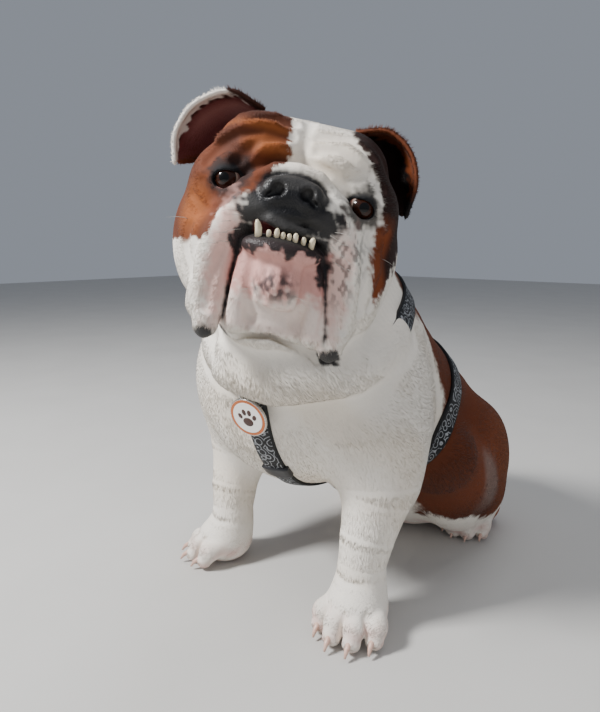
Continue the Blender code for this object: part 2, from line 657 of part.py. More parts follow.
def harness():
    """Each strap with the shape, slightly larger, that its neighbours are cut by."""
    line = path_through(((0.022, -0.044, 0.272), (0.022, -0.048, 0.235), (0.020, -0.02, 0.175),
                         (0.012, 0.03, 0.135), (0.002, 0.110, 0.115)), 25)
    spine = path_through(((-0.004, 0.155, 0.365), (-0.002, 0.20, 0.33), (0, 0.275, 0.265)), 9)
    paths = {
        "neck_strap": (loop_round(*NECK_LOOP, 36), STRAP_WIDTH, STRAP_OUT, True),
        "girth_strap": (loop_round(*GIRTH_LOOP, 36), STRAP_WIDTH, STRAP_OUT, True),
        "chest_strap": (line[::2], STRAP_WIDTH, STRAP_OUT, False),
        "back_strap": (spine, STRAP_WIDTH, STRAP_OUT, False),
        "slider": (line[12:16], STRAP_WIDTH + 0.007, STRAP_OUT + 0.002, False),
    }
    made, larger = {}, {}
    for name, (path, width, height, closed) in paths.items():
        mesh = strap(name, path, width, height, STRAP_IN, closed)
        made[name] = shown(name, mesh, bpy.data.collections[OBJECT])
        mesh = strap(name, path, width + 2 * GAP, height + GAP, STRAP_IN + 0.004, closed)
        larger[name] = cutter(name + "_grown", mesh)
    pairs = (("chest_strap", "neck_strap"), ("back_strap", "neck_strap"), ("slider", "chest_strap"))
    for name, other in pairs:
        cut(made[name], "DIFFERENCE", larger[other])
    for name, bodies in (("neck_strap", ("torso", "neck", "head")), ("girth_strap", ("torso",)),
                         ("chest_strap", ("torso", "neck")), ("back_strap", ("torso", "neck")),
                         ("slider", ("torso",))):
        for body in bodies:
            cut(made[name], "DIFFERENCE", bpy.data.objects[body + "_grown"])
        coloured(made[name], BLACK, 0.6)
    tag(line[3:10], made["neck_strap"])


def tag(place, above):
    """A round tag in front of the chest strap, with its ring in front of the strap above."""
    chord = (place[-1] - place[0]) / np.linalg.norm(place[-1] - place[0])
    out = slope(place).mean(0)
    out -= chord * (out @ chord)
    out /= np.linalg.norm(out)
    middle = place[len(place) // 2]
    straps = np.array([v.co for v in above.data.vertices]) - OFFSET - middle
    straps = straps[np.linalg.norm(straps - (straps @ out)[:, None] * out, axis=1) < TAG_RADIUS + 0.015]
    height = max(((place - middle) @ out).max() + 2 * STRAP_OUT, (straps @ out).max())
    centre = Vector((middle + out * (height + TAG_THICKNESS / 2 + GAP)).tolist())
    out = Vector(out.tolist())
    shape = bmesh.new()
    bmesh.ops.create_cone(shape, cap_ends=True, segments=40, radius1=TAG_RADIUS, radius2=TAG_RADIUS,
                          depth=TAG_THICKNESS)
    frame = Matrix.Translation(centre + Vector(OFFSET)) @ out.to_track_quat("Z", "Y").to_matrix().to_4x4()
    shape.transform(frame)
    mesh = bpy.data.meshes.new("tag")
    shape.to_mesh(mesh)
    shape.free()
    disc = shown("tag", mesh, bpy.data.collections[OBJECT])
    bpy.ops.mesh.primitive_torus_add(major_radius=0.0055, minor_radius=0.0012, major_segments=20,
                                     minor_segments=8)
    ring = bpy.context.object
    ring.data.transform(frame @ Matrix.Translation((0, TAG_RADIUS + 0.0035, 0)))
    loop = cutter("tag_loop", ring.data)
    bpy.data.objects.remove(ring)
    cut(disc, "UNION", loop)
    coloured(disc, WHITE, 0.25)


def main():
    for old in list(bpy.data.objects):
        bpy.data.objects.remove(old)
    for name in (OBJECT, "cutters"):
        collection = bpy.data.collections.new(name)
        bpy.context.scene.collection.children.link(collection)
    for name in FLESH:
        flesh_part(name)
    skull = bpy.data.objects["head"]
    eyes(skull)
    teeth(skull)
    ears()
    claws("forepaw_left", 1, LEFT_PAW, LEFT_SPLAY, 1.0)
    claws("forepaw_right", -1, RIGHT_PAW, RIGHT_SPLAY, 1.0)
    claws("hind_paw_left", 1, HIND_PAW, HIND_SPLAY, HIND_SIZE)
    claws("hind_paw_right", -1, HIND_PAW, HIND_SPLAY, HIND_SIZE)
    tail()
    harness()


main()
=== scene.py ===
"""A seated English bulldog as a life-size museum model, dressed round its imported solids.

The dog faces -Y and its own left side is at +X. Its head is turned to the left and tilted.
"""

import math
from concurrent.futures import ThreadPoolExecutor

import bmesh
import bpy
import numpy as np
import openvdb
from mathutils import Euler, Matrix, Vector


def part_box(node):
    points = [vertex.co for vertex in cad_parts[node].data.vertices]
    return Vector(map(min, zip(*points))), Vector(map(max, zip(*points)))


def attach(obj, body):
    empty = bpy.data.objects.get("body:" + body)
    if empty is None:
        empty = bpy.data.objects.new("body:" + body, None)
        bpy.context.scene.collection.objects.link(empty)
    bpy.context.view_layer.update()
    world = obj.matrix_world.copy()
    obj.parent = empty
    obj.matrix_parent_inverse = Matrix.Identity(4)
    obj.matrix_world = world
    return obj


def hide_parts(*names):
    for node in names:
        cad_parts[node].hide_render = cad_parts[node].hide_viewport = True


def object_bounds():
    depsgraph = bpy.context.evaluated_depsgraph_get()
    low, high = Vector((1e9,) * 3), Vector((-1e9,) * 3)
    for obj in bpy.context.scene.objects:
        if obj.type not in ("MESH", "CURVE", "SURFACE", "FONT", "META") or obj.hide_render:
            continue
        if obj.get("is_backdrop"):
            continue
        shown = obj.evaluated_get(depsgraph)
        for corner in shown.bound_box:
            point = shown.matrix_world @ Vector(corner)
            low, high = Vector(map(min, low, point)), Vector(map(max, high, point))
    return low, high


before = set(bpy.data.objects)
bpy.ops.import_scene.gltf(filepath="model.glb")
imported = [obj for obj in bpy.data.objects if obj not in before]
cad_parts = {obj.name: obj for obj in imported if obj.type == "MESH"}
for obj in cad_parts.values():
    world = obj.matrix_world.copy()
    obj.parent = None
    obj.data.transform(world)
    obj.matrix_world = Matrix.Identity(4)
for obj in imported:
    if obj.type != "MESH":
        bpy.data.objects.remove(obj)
cad_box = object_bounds()

# The body under the coat
# One smooth form of skin over muscle: trunk, neck with its loose throat, legs and paws.
# It is worked out as a distance field in the dog's own frame, which stands OFFSET from the part's.

OFFSET = np.array((0.0129, -0.1474, 0.0), np.float32)
LEFT_PAW, LEFT_SPLAY = (0.095, 0.036), 0.25
RIGHT_PAW, RIGHT_SPLAY = (0.110, 0.036), 0.72
HIND_PAW, HIND_SPLAY, HIND_SIZE = (0.086, 0.318), 0.15, 0.86
TOES = ((-0.029, -0.036), (-0.0105, -0.050), (0.0105, -0.050), (0.029, -0.036))
TAIL = (((0.004, 0.36, 0.115), 0.024), ((0.010, 0.392, 0.098), 0.019), ((0.030, 0.402, 0.075), 0.013),
        ((0.048, 0.400, 0.062), 0.008))


def turned(angles):
    return np.array(Euler(angles).to_matrix(), np.float32)


def ball(p, centre, radii, angles=(0, 0, 0)):
    """Distance to an ellipsoid."""
    q = p - np.array(centre, np.float32)
    if any(angles):
        q = q @ turned(angles)
    q = q / np.array(radii, np.float32)
    near = np.sqrt((q * q).sum(-1)) + 1e-6
    q = q / np.array(radii, np.float32)
    return near * (near - 1) / (np.sqrt((q * q).sum(-1)) + 1e-6)


def slab(p, centre, half, edge, angles=(0, 0, 0)):
    """Distance to a box with rounded edges. half is measured to the outside."""
    q = p - np.array(centre, np.float32)
    if any(angles):
        q = q @ turned(angles)
    q = np.abs(q) - (np.array(half, np.float32) - edge)
    outside = np.sqrt((np.maximum(q, 0) ** 2).sum(-1))
    return outside + np.minimum(q.max(-1), 0) - edge


def limb(p, *stations):
    """Distance to a tube through stations, each a point and a radius there."""
    found = None
    for (a, ra), (b, rb) in zip(stations, stations[1:]):
        a, b = np.array(a, np.float32), np.array(b, np.float32)
        t = np.clip((p - a) @ (b - a) / ((b - a) @ (b - a)), 0, 1)
        q = p - a - t[..., None] * (b - a)
        d = np.sqrt((q * q).sum(-1)) - (ra + t * (rb - ra))
        found = d if found is None else np.minimum(found, d)
    return found


def joined(a, b, soft):
    """Both forms, with a fillet where they meet."""
    h = np.maximum(soft - np.abs(a - b), 0) / soft
    return np.minimum(a, b) - h * h * soft / 4


def carved(a, b, soft):
    """The first form without the second."""
    return -joined(-a, b, soft)


def creased(form, p, width, depth, *points):
    """A crease along a line of points, or with a negative depth a fold."""
    away = limb(p, *((point, 0) for point in points))
    return form + depth * np.exp(-((away / width) ** 2))


def slit(form, p, half, deep, *places):
    """A deep narrow gap, open in front, along X and Z places."""
    away = limb(p * np.array((1, 0, 1), np.float32), *(((x, 0, z), 0) for x, z in places)) - half
    return carved(form, np.maximum(away, p[..., 1] - deep), 0.0025)


def mirrored(p):
    return np.concatenate([np.abs(p[..., :1]), p[..., 1:]], -1)


def torso(p, a):
    spine = limb(p, ((-0.012, 0.090, 0.265), 0.108), ((-0.006, 0.170, 0.220), 0.110),
                 ((0, 0.245, 0.155), 0.113), ((0, 0.290, 0.105), 0.108))
    form = joined(spine, ball(p, (-0.016, 0.062, 0.245), (0.118, 0.106, 0.116)), 0.05)
    form = joined(form, ball(p, (0.078, 0.088, 0.220), (0.052, 0.072, 0.095), (0.3, 0, 0)), 0.03)
    form = joined(form, ball(p, (-0.102, 0.072, 0.225), (0.050, 0.076, 0.100), (0.3, 0, 0)), 0.03)
    form = joined(form, ball(a, (0.088, 0.285, 0.105), (0.050, 0.092, 0.092), (0.2, 0, 0)), 0.025)
    return creased(form, p, 0.016, 0.006, (-0.014, -0.045, 0.225), (-0.012, -0.035, 0.185),
                   (-0.008, 0.0, 0.145))


def neck(p):
    form = limb(p, ((-0.010, 0.12, 0.29), 0.096), ((-0.008, 0.085, 0.35), 0.088),
                ((0.0, 0.045, 0.41), 0.078))
    form = joined(form, ball(p, (0.026, 0.004, 0.330), (0.078, 0.062, 0.062), (0, 0, 0.7)), 0.03)
    dewlap = limb(p, ((0.012, -0.052, 0.300), 0.026), ((0.048, -0.036, 0.291), 0.030),
                  ((0.080, 0.002, 0.300), 0.032))
    return joined(form, dewlap, 0.012)


def foreleg(p, side, place, splay):
    """A foreleg. place is the middle of its wrist, on the floor."""
    q = p * np.array((side, 1, 1), np.float32) - np.array((*place, 0), np.float32)
    form = limb(q, ((-0.006, 0.032, 0.20), 0.050), ((0.004, 0.024, 0.15), 0.039),
                ((0.002, 0.008, 0.10), 0.0300), ((0.0, 0.002, 0.070), 0.0265), ((0.0, 0.0, 0.05), 0.028))
    form = joined(form, ball(q, (0.006, 0.048, 0.152), (0.026, 0.030, 0.034)), 0.02)
    form = creased(form, q, 0.0035, 0.0012, (-0.03, -0.020, 0.062), (0, -0.027, 0.058), (0.03, -0.018, 0.062))
    return joined(form, paw(q, splay, 1.0), 0.012)


def paw(p, splay, size):
    """A paw, with four knuckled toes spread in front of its middle and the clefts between them."""
    q = p @ turned((0, 0, splay)) / size
    form = ball(q, (0, -0.010, 0.026), (0.034, 0.036, 0.030))
    for x, y in TOES:
        toe = limb(q, ((x * 0.8, y * 0.45, 0.026), 0.013), ((x, y * 0.85, 0.020), 0.0125),
                   ((x * 1.03, y, 0.012), 0.0105))
        toe = joined(toe, ball(q, (x, y * 0.80, 0.0245), (0.0108, 0.012, 0.0100)), 0.006)
        form = joined(form, toe, 0.003)
    for x, y in ((-0.0205, -0.045), (0, -0.052), (0.0205, -0.045)):
        form = creased(form, q, 0.0026, 0.0022, (x * 0.8, y * 0.5, 0.042), (x * 0.95, y * 0.85, 0.032),
                       (x, y, 0.014))
    return form * size


def hindleg(a):
    form = limb(a, ((0.096, 0.20, 0.14), 0.045), ((0.098, 0.29, 0.07), 0.038),
                ((0.088, 0.335, 0.036), 0.030))
    form = joined(form, limb(a, ((0.088, 0.350, 0.022), 0.021), ((0.084, 0.31, 0.022), 0.022)), 0.02)
    return joined(form, paw(a - np.array((*HIND_PAW, 0), np.float32), HIND_SPLAY, HIND_SIZE), 0.01)


def trunk(p, a):
    return joined(torso(p, a), neck(p), 0.04)


# The head
# A broad skull with loose skin: a fold over the nose, hanging flews beside a jaw that stands in
# front of them, thick lids and rose ears. It has its own frame: nose at -Y, eyes at Z 0.

HEAD_ORIGIN = np.array((0.079, -0.050, 0.444), np.float32)
HEAD_TURN = np.array(
    (Matrix.Rotation(math.radians(42), 3, "Z") @ Matrix.Rotation(math.radians(-3), 3, "X")
     @ Matrix.Rotation(math.radians(12), 3, "Y")), np.float32)
EYE_RADIUS = 0.0125
EYE_PLACE = (0.0595, 0.0125, 0.0)
# The edge under the jaw, below its folds, and the gaps between the hanging upper lips and the folds.
UNDER_JAW = ((-0.047, -0.1400), (-0.040, -0.1345), (-0.028, -0.1325), (-0.016, -0.1280), (0.004, -0.1240),
             (0.024, -0.1290), (0.0415, -0.1330), (0.050, -0.1400))
GAPS = (
    ((0.0375, -0.044), (0.0405, -0.060), (0.0440, -0.080), (0.0505, -0.112), (0.052, -0.135)),
    ((-0.0370, -0.048), (-0.0390, -0.080), (-0.0395, -0.112), (-0.039, -0.135)),
)


def muzzle(p, a):
    """The nose, the fold over it, the cushions beside it and the hanging upper lips."""
    form = ball(a, (0.030, 0.006, -0.016), (0.031, 0.028, 0.024))
    form = joined(form, ball(a, (0.020, -0.004, -0.0195), (0.025, 0.020, 0.0115), (0, 0.22, 0)), 0.006)
    form = joined(form, limb(a, ((0.044, 0.006, -0.028), 0.024), ((0.057, 0.010, -0.060), 0.020)), 0.010)
    for side, tip in ((1, (0.0575, -0.003, -0.1220)), (-1, (0.0525, -0.005, -0.1230))):
        q = p * np.array((side, 1, 1), np.float32)
        flew = slab(q, (0.0575, 0.010, -0.078), (0.0195, 0.022, 0.046), 0.017, (0, 0.05, 0))
        flew = joined(flew, ball(q, tip, (0.0120, 0.0110, 0.0155)), 0.008)
        form = joined(form, flew, 0.010)
    roll = limb(a, ((0, -0.003, 0.0135), 0.0110), ((0.018, -0.002, 0.0115), 0.0110),
                ((0.036, 0.003, -0.001), 0.012), ((0.050, 0.010, -0.018), 0.014))
    form = joined(form, roll, 0.006)
    nose = ball(a, (0, -0.0165, -0.0055), (0.0285, 0.013, 0.0165))
    nose = joined(nose, ball(a, (0.0140, -0.0210, -0.0060), (0.0125, 0.0095, 0.0135)), 0.004)
    form = joined(form, nose, 0.004)
    form = carved(form, ball(a, (0.0120, -0.0330, -0.0035), (0.0056, 0.0105, 0.0058), (0, 0.5, 0)), 0.002)
    form = carved(form, ball(a, (0.0185, -0.0320, -0.0095), (0.0055, 0.008, 0.0018), (0, 0.6, 0)), 0.002)
    return creased(form, a, 0.0018, 0.0025, (0, -0.033, 0.002), (0, -0.031, -0.014), (0, -0.022, -0.030))


def jaw(p, a):
    """The lower jaw, which stands in front of the upper lip, its chin and its hanging lip folds."""
    form = ball(a, (0, 0.006, -0.078), (0.041, 0.032, 0.036))
    form = joined(form, ball(a, (0, -0.0120, -0.0505), (0.036, 0.024, 0.0138)), 0.010)
    form = joined(form, ball(p, (0.003, -0.0065, -0.0790), (0.0215, 0.0265, 0.0225)), 0.006)
    left = limb(p, ((0.033, 0.000, -0.066), 0.012), ((0.0365, -0.002, -0.094), 0.0130),
                ((0.0415, 0.000, -0.1165), 0.0125))
    right = limb(p, ((-0.031, 0.000, -0.066), 0.012), ((-0.0290, -0.002, -0.096), 0.0130),
                 ((-0.0275, 0.000, -0.1175), 0.0115))
    form = joined(form, np.minimum(left, right), 0.004)
    for places in GAPS:
        form = slit(form, p, 0.0013, 0.012, *places)
    form = carved(form, slab(p, (0.001, -0.022, -0.0356), (0.0265, 0.026, 0.0021), 0.0020), 0.0015)
    form = carved(form, ball(p, (-0.0195, -0.032, -0.0345), (0.0085, 0.018, 0.0050)), 0.0015)
    lip = limb(p, ((-0.028, -0.0130, -0.0255), 0.0050), ((-0.013, -0.0210, -0.0285), 0.0053),
               ((0.000, -0.0225, -0.0325), 0.0056), ((0.016, -0.0205, -0.0335), 0.0056),
               ((0.032, -0.0110, -0.0335), 0.0058))
    form = joined(form, lip, 0.003)
    return joined(form, ball(a, (0, -0.0165, -0.0205), (0.021, 0.0105, 0.0080)), 0.006)


def lids(form, a):
    """Each eye's lids, which stand over its ball, open in front."""
    x, y, z = EYE_PLACE
    form = joined(form, ball(a, (0.072, 0.030, 0.000), (0.022, 0.026, 0.028)), 0.016)
    form = joined(form, limb(a, ((0.047, 0.012, 0.0130), 0.007), ((0.061, 0.011, 0.0165), 0.0085),
                             ((0.077, 0.021, 0.0095), 0.0075)), 0.006)
    form = joined(form, ball(a, (x, y, z), (EYE_RADIUS + 0.0036,) * 3), 0.005)
    opening = ball(a, (x - 0.0008, y - 0.0140, z - 0.0018), (0.0114, 0.0128, 0.0070), (0, 0.15, 0))
    return carved(form, opening, 0.0012)


def smooth_head(p):
    """The head without its creases."""
    a = mirrored(p)
    form = slab(a, (0, 0.082, 0.018), (0.082, 0.074, 0.053), 0.042)
    form = joined(form, ball(a, (0.062, 0.062, -0.040), (0.046, 0.056, 0.058)), 0.030)
    form = joined(form, ball(a, (0.062, 0.045, -0.066), (0.033, 0.045, 0.046)), 0.020)
    form = joined(form, ball(p, (0.060, 0.036, -0.086), (0.032, 0.038, 0.036)), 0.020)
    form = joined(form, ball(a, (0.040, 0.016, 0.030), (0.032, 0.017, 0.022)), 0.014)
    form = joined(form, ball(a, (0, 0.040, -0.055), (0.064, 0.048, 0.056)), 0.020)
    form = joined(form, ball(a, (0, 0.036, -0.112), (0.052, 0.046, 0.034)), 0.02)
    form = joined(form, muzzle(p, a), 0.008)
    form = joined(form, jaw(p, a), 0.003)
    return lids(form, a)


def front_of(form, *places):
    """The points, at each X and Z, where a form is first met from in front."""
    ways = np.linspace(-0.06, 0.15, 421, dtype=np.float32)
    found = []
    for x, z in places:
        line = np.stack([np.full_like(ways, x), ways, np.full_like(ways, z)], -1)
        found.append((x, float(ways[np.argmax(form(line) < 0)]), z))
    return found


# Each crease of the face: its width, its depth, whether both sides have it, and its X and Z places.
# A negative depth raises a fold beside its crease.
CREASES = [
    (0.0042, 0.0095, True, ((0, 0.0262), (0.0127, 0.0249), (0.030, 0.0186), (0.042, 0.0105), (0.049, 0.000))),
    (0.0050, -0.0022, True, ((0, 0.0165), (0.018, 0.0155), (0.034, 0.006))),
    (0.0050, 0.0050, True, ((0.056, -0.018), (0.0675, -0.034), (0.075, -0.060), (0.078, -0.085))),
    (0.0050, 0.0050, True, ((0, 0.032), (0, 0.050), (0, 0.066))),
    (0.0042, 0.0085, False, ((-0.052, 0.0160), (-0.047, 0.0240), (-0.036, 0.0380), (-0.0178, 0.0430))),
    (0.0042, 0.0090, False, ((-0.0795, 0.0118), (-0.070, 0.026), (-0.055, 0.0375), (-0.034, 0.046), (-0.012, 0.0475))),
    (0.0055, -0.0040, False, ((-0.072, 0.033), (-0.054, 0.0455), (-0.030, 0.0530))),
    (0.0040, 0.0080, False, ((-0.0720, 0.0400), (-0.056, 0.0510), (-0.0283, 0.0590), (-0.012, 0.060))),
    (0.0050, -0.0030, False, ((-0.060, 0.0570), (-0.030, 0.0650))),
    (0.0070, -0.0040, False, ((-0.034, 0.0300), (-0.020, 0.0335))),
    (0.0045, 0.0060, False, ((0.012, 0.0390), (0.030, 0.0420), (0.047, 0.0350), (0.060, 0.0290))),
    (0.0045, 0.0050, False, ((0.010, 0.0520), (0.036, 0.0550), (0.060, 0.0430))),
    (0.0065, -0.0030, False, ((0.018, 0.0330), (0.036, 0.0310))),
    (0.0035, 0.0045, True, ((0.044, 0.0215), (0.058, 0.0270), (0.074, 0.020))),
    (0.0035, 0.0040, True, ((0.047, -0.008), (0.054, -0.0165), (0.068, -0.0180), (0.080, -0.006))),
    (0.0035, 0.0030, True, ((0.058, -0.024), (0.073, -0.029), (0.088, -0.018))),
    (0.0040, 0.0045, False, ((0.088, -0.020), (0.093, -0.050), (0.086, -0.082))),
    (0.0040, 0.0040, False, ((-0.084, -0.045), (-0.082, -0.066), (-0.074, -0.084))),
    (0.0038, 0.0120, False, ((-0.0235, -0.064), (-0.0215, -0.085), (-0.0155, -0.112))),
    (0.0038, 0.0120, False, ((0.0258, -0.064), (0.0270, -0.083), (0.0235, -0.110))),
    (0.0040, 0.0090, False, ((-0.014, -0.1020), (0.004, -0.1045), (0.022, -0.1030))),
    (0.0030, 0.0035, False, ((-0.010, -0.060), (-0.012, -0.080), (-0.008, -0.094))),
    (0.0030, 0.0035, False, ((0.008, -0.062), (0.010, -0.080), (0.006, -0.094))),
    (0.0035, 0.0050, False, ((-0.049, -0.060), (-0.054, -0.085), (-0.053, -0.110))),
    (0.0035, 0.0050, False, ((0.058, -0.050), (0.064, -0.075), (0.066, -0.105))),
]
CREASES = [(width, depth, both, front_of(smooth_head, *places)) for width, depth, both, places in CREASES]


def head(p):
    form = smooth_head(p)
    a = mirrored(p)
    for width, depth, both, points in CREASES:
        form = creased(form, a if both else p, width, depth, *points)
    return form


def fold_depth(q):
    """How deep in a crease of the face a point lies, from 0 to 1."""
    a = mirrored(q)
    found = np.zeros(q.shape[:-1], np.float32)
    for width, depth, both, points in CREASES:
        if depth > 0:
            away = limb(a if both else q, *((point, 0) for point in points))
            found = np.maximum(found, min(1, depth / 0.008) * np.exp(-((away / (0.8 * width)) ** 2)))
    return found


def smooth(knots, values, at):
    """A smooth curve through values at knots, read at the places at."""
    slopes = np.gradient(values, knots)
    i = np.clip(np.searchsorted(knots, at, side="right") - 1, 0, len(knots) - 2)
    step = knots[i + 1] - knots[i]
    t = (at - knots[i]) / step
    return ((2 * t ** 3 - 3 * t ** 2 + 1) * values[i] + (t ** 3 - 2 * t ** 2 + t) * step * slopes[i]
            + (3 * t ** 2 - 2 * t ** 3) * values[i + 1] + (t ** 3 - t ** 2) * step * slopes[i + 1])


EAR_STEPS = 32, 60


def ear_points(rim, root, bulge):
    """Points on the middle of an ear: v runs along its rim to the tip, u from root to rim."""
    v = np.linspace(0, 1, EAR_STEPS[1])
    knots = np.linspace(0, 1, 5)
    rim = np.stack([smooth(knots, np.array(rim)[:, i], v) for i in range(3)], -1)
    root = np.stack([smooth(knots, np.array(root)[:, i], v) for i in range(3)], -1)
    u = np.linspace(0, 1, EAR_STEPS[0])[:, None, None]
    swell = bulge * np.sin(np.pi * u) * np.sin(np.pi * (0.15 + 0.75 * v))[None, :, None]
    middle = root + u * (rim - root) + swell * np.array([0.62, 0.35, 0.70])
    return middle.reshape(-1, 3).astype(np.float32)


EAR_THICKNESS = 0.0062
EARS = (
    (-1, ear_points(
        ((.046, .060, .076), (.078, .052, .083), (.108, .050, .064), (.120, .050, .036), (.116, .050, .010)),
        ((.046, .078, .066), (.060, .094, .058), (.078, .098, .044), (.092, .086, .026), (.112, .056, .012)),
        0.014)),
    (1, ear_points(
        ((.044, .060, .074), (.072, .050, .078), (.096, .046, .062), (.107, .048, .036), (.104, .046, .006)),
        ((.044, .078, .064), (.058, .094, .056), (.074, .096, .042), (.084, .084, .024), (.101, .052, .008)),
        0.012)),
)


def sheet(p, points, thickness):
    """Distance to a thick sheet given by points close together on its middle."""
    squares = (p * p).sum(-1)[:, None] + (points * points).sum(-1) - 2 * p @ points.T
    return np.sqrt(np.maximum(squares.min(-1), 0)) - thickness / 2


def only_near(field, p, low, high, apart):
    """The field inside a box that clears its form by apart, and the distance to the box outside it."""
    low, high = np.array(low, np.float32), np.array(high, np.float32)
    away = slab(p, (low + high) / 2, (high - low) / 2, 0.001)
    found = away + apart
    inside = away < 0
    if inside.any():
        found[inside] = field(p[inside])
    return found


def to_head(p):
    """Points of the dog's frame in the head's."""
    return (p - HEAD_ORIGIN) @ HEAD_TURN


def flesh(p):
    """The distance to the smooth surface that the solids have, ears apart."""
    a = mirrored(p)
    form = trunk(p, a)
    form = joined(form, foreleg(p, 1, LEFT_PAW, LEFT_SPLAY), 0.03)
    form = joined(form, foreleg(p, -1, RIGHT_PAW, RIGHT_SPLAY), 0.03)
    form = joined(form, hindleg(a), 0.02)
    form = joined(form, only_near(head, to_head(p), (-0.15, -0.09, -0.18), (0.15, 0.20, 0.13), 0.03), 0.009)
    return np.maximum(form, -p[..., 2])


def slope(p):
    """The outward direction of the flesh at each point."""
    ways = np.eye(3, dtype=np.float32) * 0.001
    rise = np.stack([flesh(p + way) - flesh(p - way) for way in ways], -1)
    return rise / (np.linalg.norm(rise, axis=-1, keepdims=True) + 1e-9)


def laid(p):
    """Points moved onto the flesh."""
    for _ in range(6):
        p = p - slope(p) * flesh(p)[..., None]
    return p


def loop_round(centre, normal, count):
    """Points round the body where a plane cuts it."""
    centre, normal = np.array(centre, np.float32), np.array(normal, np.float32)
    normal /= np.linalg.norm(normal)
    across = np.cross(normal, (1, 0, 0))
    across /= np.linalg.norm(across)
    round_ways = np.cross(across, normal)
    turn = np.linspace(0, 2 * np.pi, count, endpoint=False)[:, None]
    ways = (np.cos(turn) * across + np.sin(turn) * round_ways).astype(np.float32)
    reach = np.linspace(0.03, 0.22, 200, dtype=np.float32)
    rays = centre + ways[:, None] * reach[:, None]
    depth = trunk(rays, mirrored(rays))
    out = reach[np.argmax(depth > 0, axis=1)]
    return laid(centre + ways * out[:, None])


# The throat's loose skin hangs in a roll over the front of the neck strap, which lies round NECK_LOOP.
NECK_LOOP = (0.0, 0.05, 0.32), (0.15, -0.36, 0.92)
neck_loop = loop_round(*NECK_LOOP, 144)
ROLL = []
for i in range(30, 113, 4):
    swell = max(0, math.sin(math.pi * (i - 30) / 80)) ** 0.35
    sunk = neck_loop[i] - 0.0150 * slope(neck_loop[i:i + 1])[0] - np.array((0, 0, 0.003))
    ROLL.append((tuple(sunk.tolist()), 0.0235 + 0.0012 * swell))


def whole(p):
    """The skin: the flesh with its tail and ears and the roll of the throat."""
    form = joined(flesh(p), limb(p, *TAIL), 0.008)
    form = joined(form, only_near(lambda near: limb(near, *ROLL), p, (-0.14, -0.12, 0.20), (0.15, 0.12, 0.36), 0.02), 0.008)
    local = to_head(p)
    form = slit(form, local, 0.0020, 0.012, *UNDER_JAW)
    for side, points in EARS:
        q = local * np.array((side, 1, 1), np.float32)
        ear = only_near(lambda near: sheet(near, points, EAR_THICKNESS), q,
                        (0.026, 0.026, -0.012), (0.138, 0.122, 0.104), 0.012)
        form = joined(form, ear, 0.006)
    return form


# The skin
# The field's surface as one mesh, a coat's depth inside the solids, so that no seam shows between them.

BLOCK = 8
NEAR = 1.35
SKIN_DEPTH = 0.001
SKIN_STEP = 0.0016


def surface(name, field, low, high, step, depth):
    """A mesh of the surface that lies depth inside a field, and its points."""
    low, high = np.array(low, np.float32), np.array(high, np.float32)
    side = BLOCK * step
    counts = np.ceil((high - low) / side).astype(int)
    corners = np.indices(counts).reshape(3, -1).T
    middles = (low + (corners + 0.5) * side).astype(np.float32)
    with ThreadPoolExecutor(4) as workers:
        away = np.concatenate(list(workers.map(field, np.array_split(middles, 16))))
        inner = np.indices((BLOCK,) * 3).reshape(3, -1).T * step
        near = corners[np.abs(away) <= NEAR * side]
        groups = np.array_split(near, max(1, len(near) // 48))

        def depths(group):
            points = (low + group[:, None] * side + inner).astype(np.float32)
            return field(points.reshape(-1, 3)).reshape(-1, BLOCK, BLOCK, BLOCK)

        grid = openvdb.FloatGrid(background=side)
        for corner in corners[away < -NEAR * side] * BLOCK:
            grid.fill(corner.tolist(), (corner + BLOCK - 1).tolist(), -side)
        for group, blocks in zip(groups, workers.map(depths, groups)):
            for corner, block in zip(group * BLOCK, blocks):
                grid.copyFromArray(block, ijk=corner.tolist())
    grid.transform = openvdb.createLinearTransform(voxelSize=step)
    points, quads = grid.convertToQuads(isovalue=-depth)
    return mesh_of(name, points + low, quads), points + low


def mesh_of(name, points, faces):
    """A mesh from arrays of points and of faces with like counts of corners."""
    mesh = bpy.data.meshes.new(name)
    mesh.vertices.add(len(points))
    mesh.vertices.foreach_set("co", np.ascontiguousarray(points, np.float32).ravel())
    mesh.loops.add(faces.size)
    mesh.loops.foreach_set("vertex_index", np.ascontiguousarray(faces, np.int32).ravel())
    mesh.polygons.add(len(faces))
    mesh.polygons.foreach_set("loop_start", np.arange(0, faces.size, faces.shape[1], dtype=np.int32))
    mesh.update(calc_edges=True)
    mesh.shade_smooth()
    return mesh


def shown(name, mesh, *materials):
    obj = bpy.data.objects.new(name, mesh)
    bpy.context.scene.collection.objects.link(obj)
    for material in materials:
        mesh.materials.append(material)
    return obj


skin_mesh, skin_points = surface("skin", whole, (-0.20, -0.16, -0.016), (0.18, 0.43, 0.57), SKIN_STEP, SKIN_DEPTH)


# The markings
# A white coat with red-brown patches over the back, the haunches and the right of the head, a
# black-brown ear on the left and a brown stripe below it, painted dark as painted shade. The nose, lips and lids are
# bare black skin, the chin pink.


def linear(code):
    """An sRGB hex colour as linear numbers."""
    parts = [int(code[i:i + 2], 16) / 255 for i in (1, 3, 5)]
    return np.array([c / 12.92 if c <= 0.04045 else ((c + 0.055) / 1.055) ** 2.4 for c in parts], np.float32)


# Some of these colours also serve as painted shade and painted highlights on the face and the flank.
WHITE_HAIR, CREAM_HAIR, PAINTED_SHADE_GREY = linear("#efe8dd"), linear("#ddceb8"), linear("#8f8882")
BROWN_HAIR, DEEP_BROWN, ORANGE_HAIR_AND_PAINTED_HIGHLIGHT = linear("#74391b"), linear("#391b10"), linear("#a65d29")
BLACK_HAIR, DARK_HAIR_AND_PAINTED_SHADE = linear("#17110f"), linear("#2a1712")
BLACK_SKIN, LIP_SKIN_AND_PAINTED_SHADE, PINK_SKIN = linear("#121215"), linear("#232227"), linear("#cc8c82")
FLEW_PINK, EAR_SKIN, HAW, GUM = linear("#dba79b"), linear("#6a3433"), linear("#c98f86"), linear("#8c4a48")


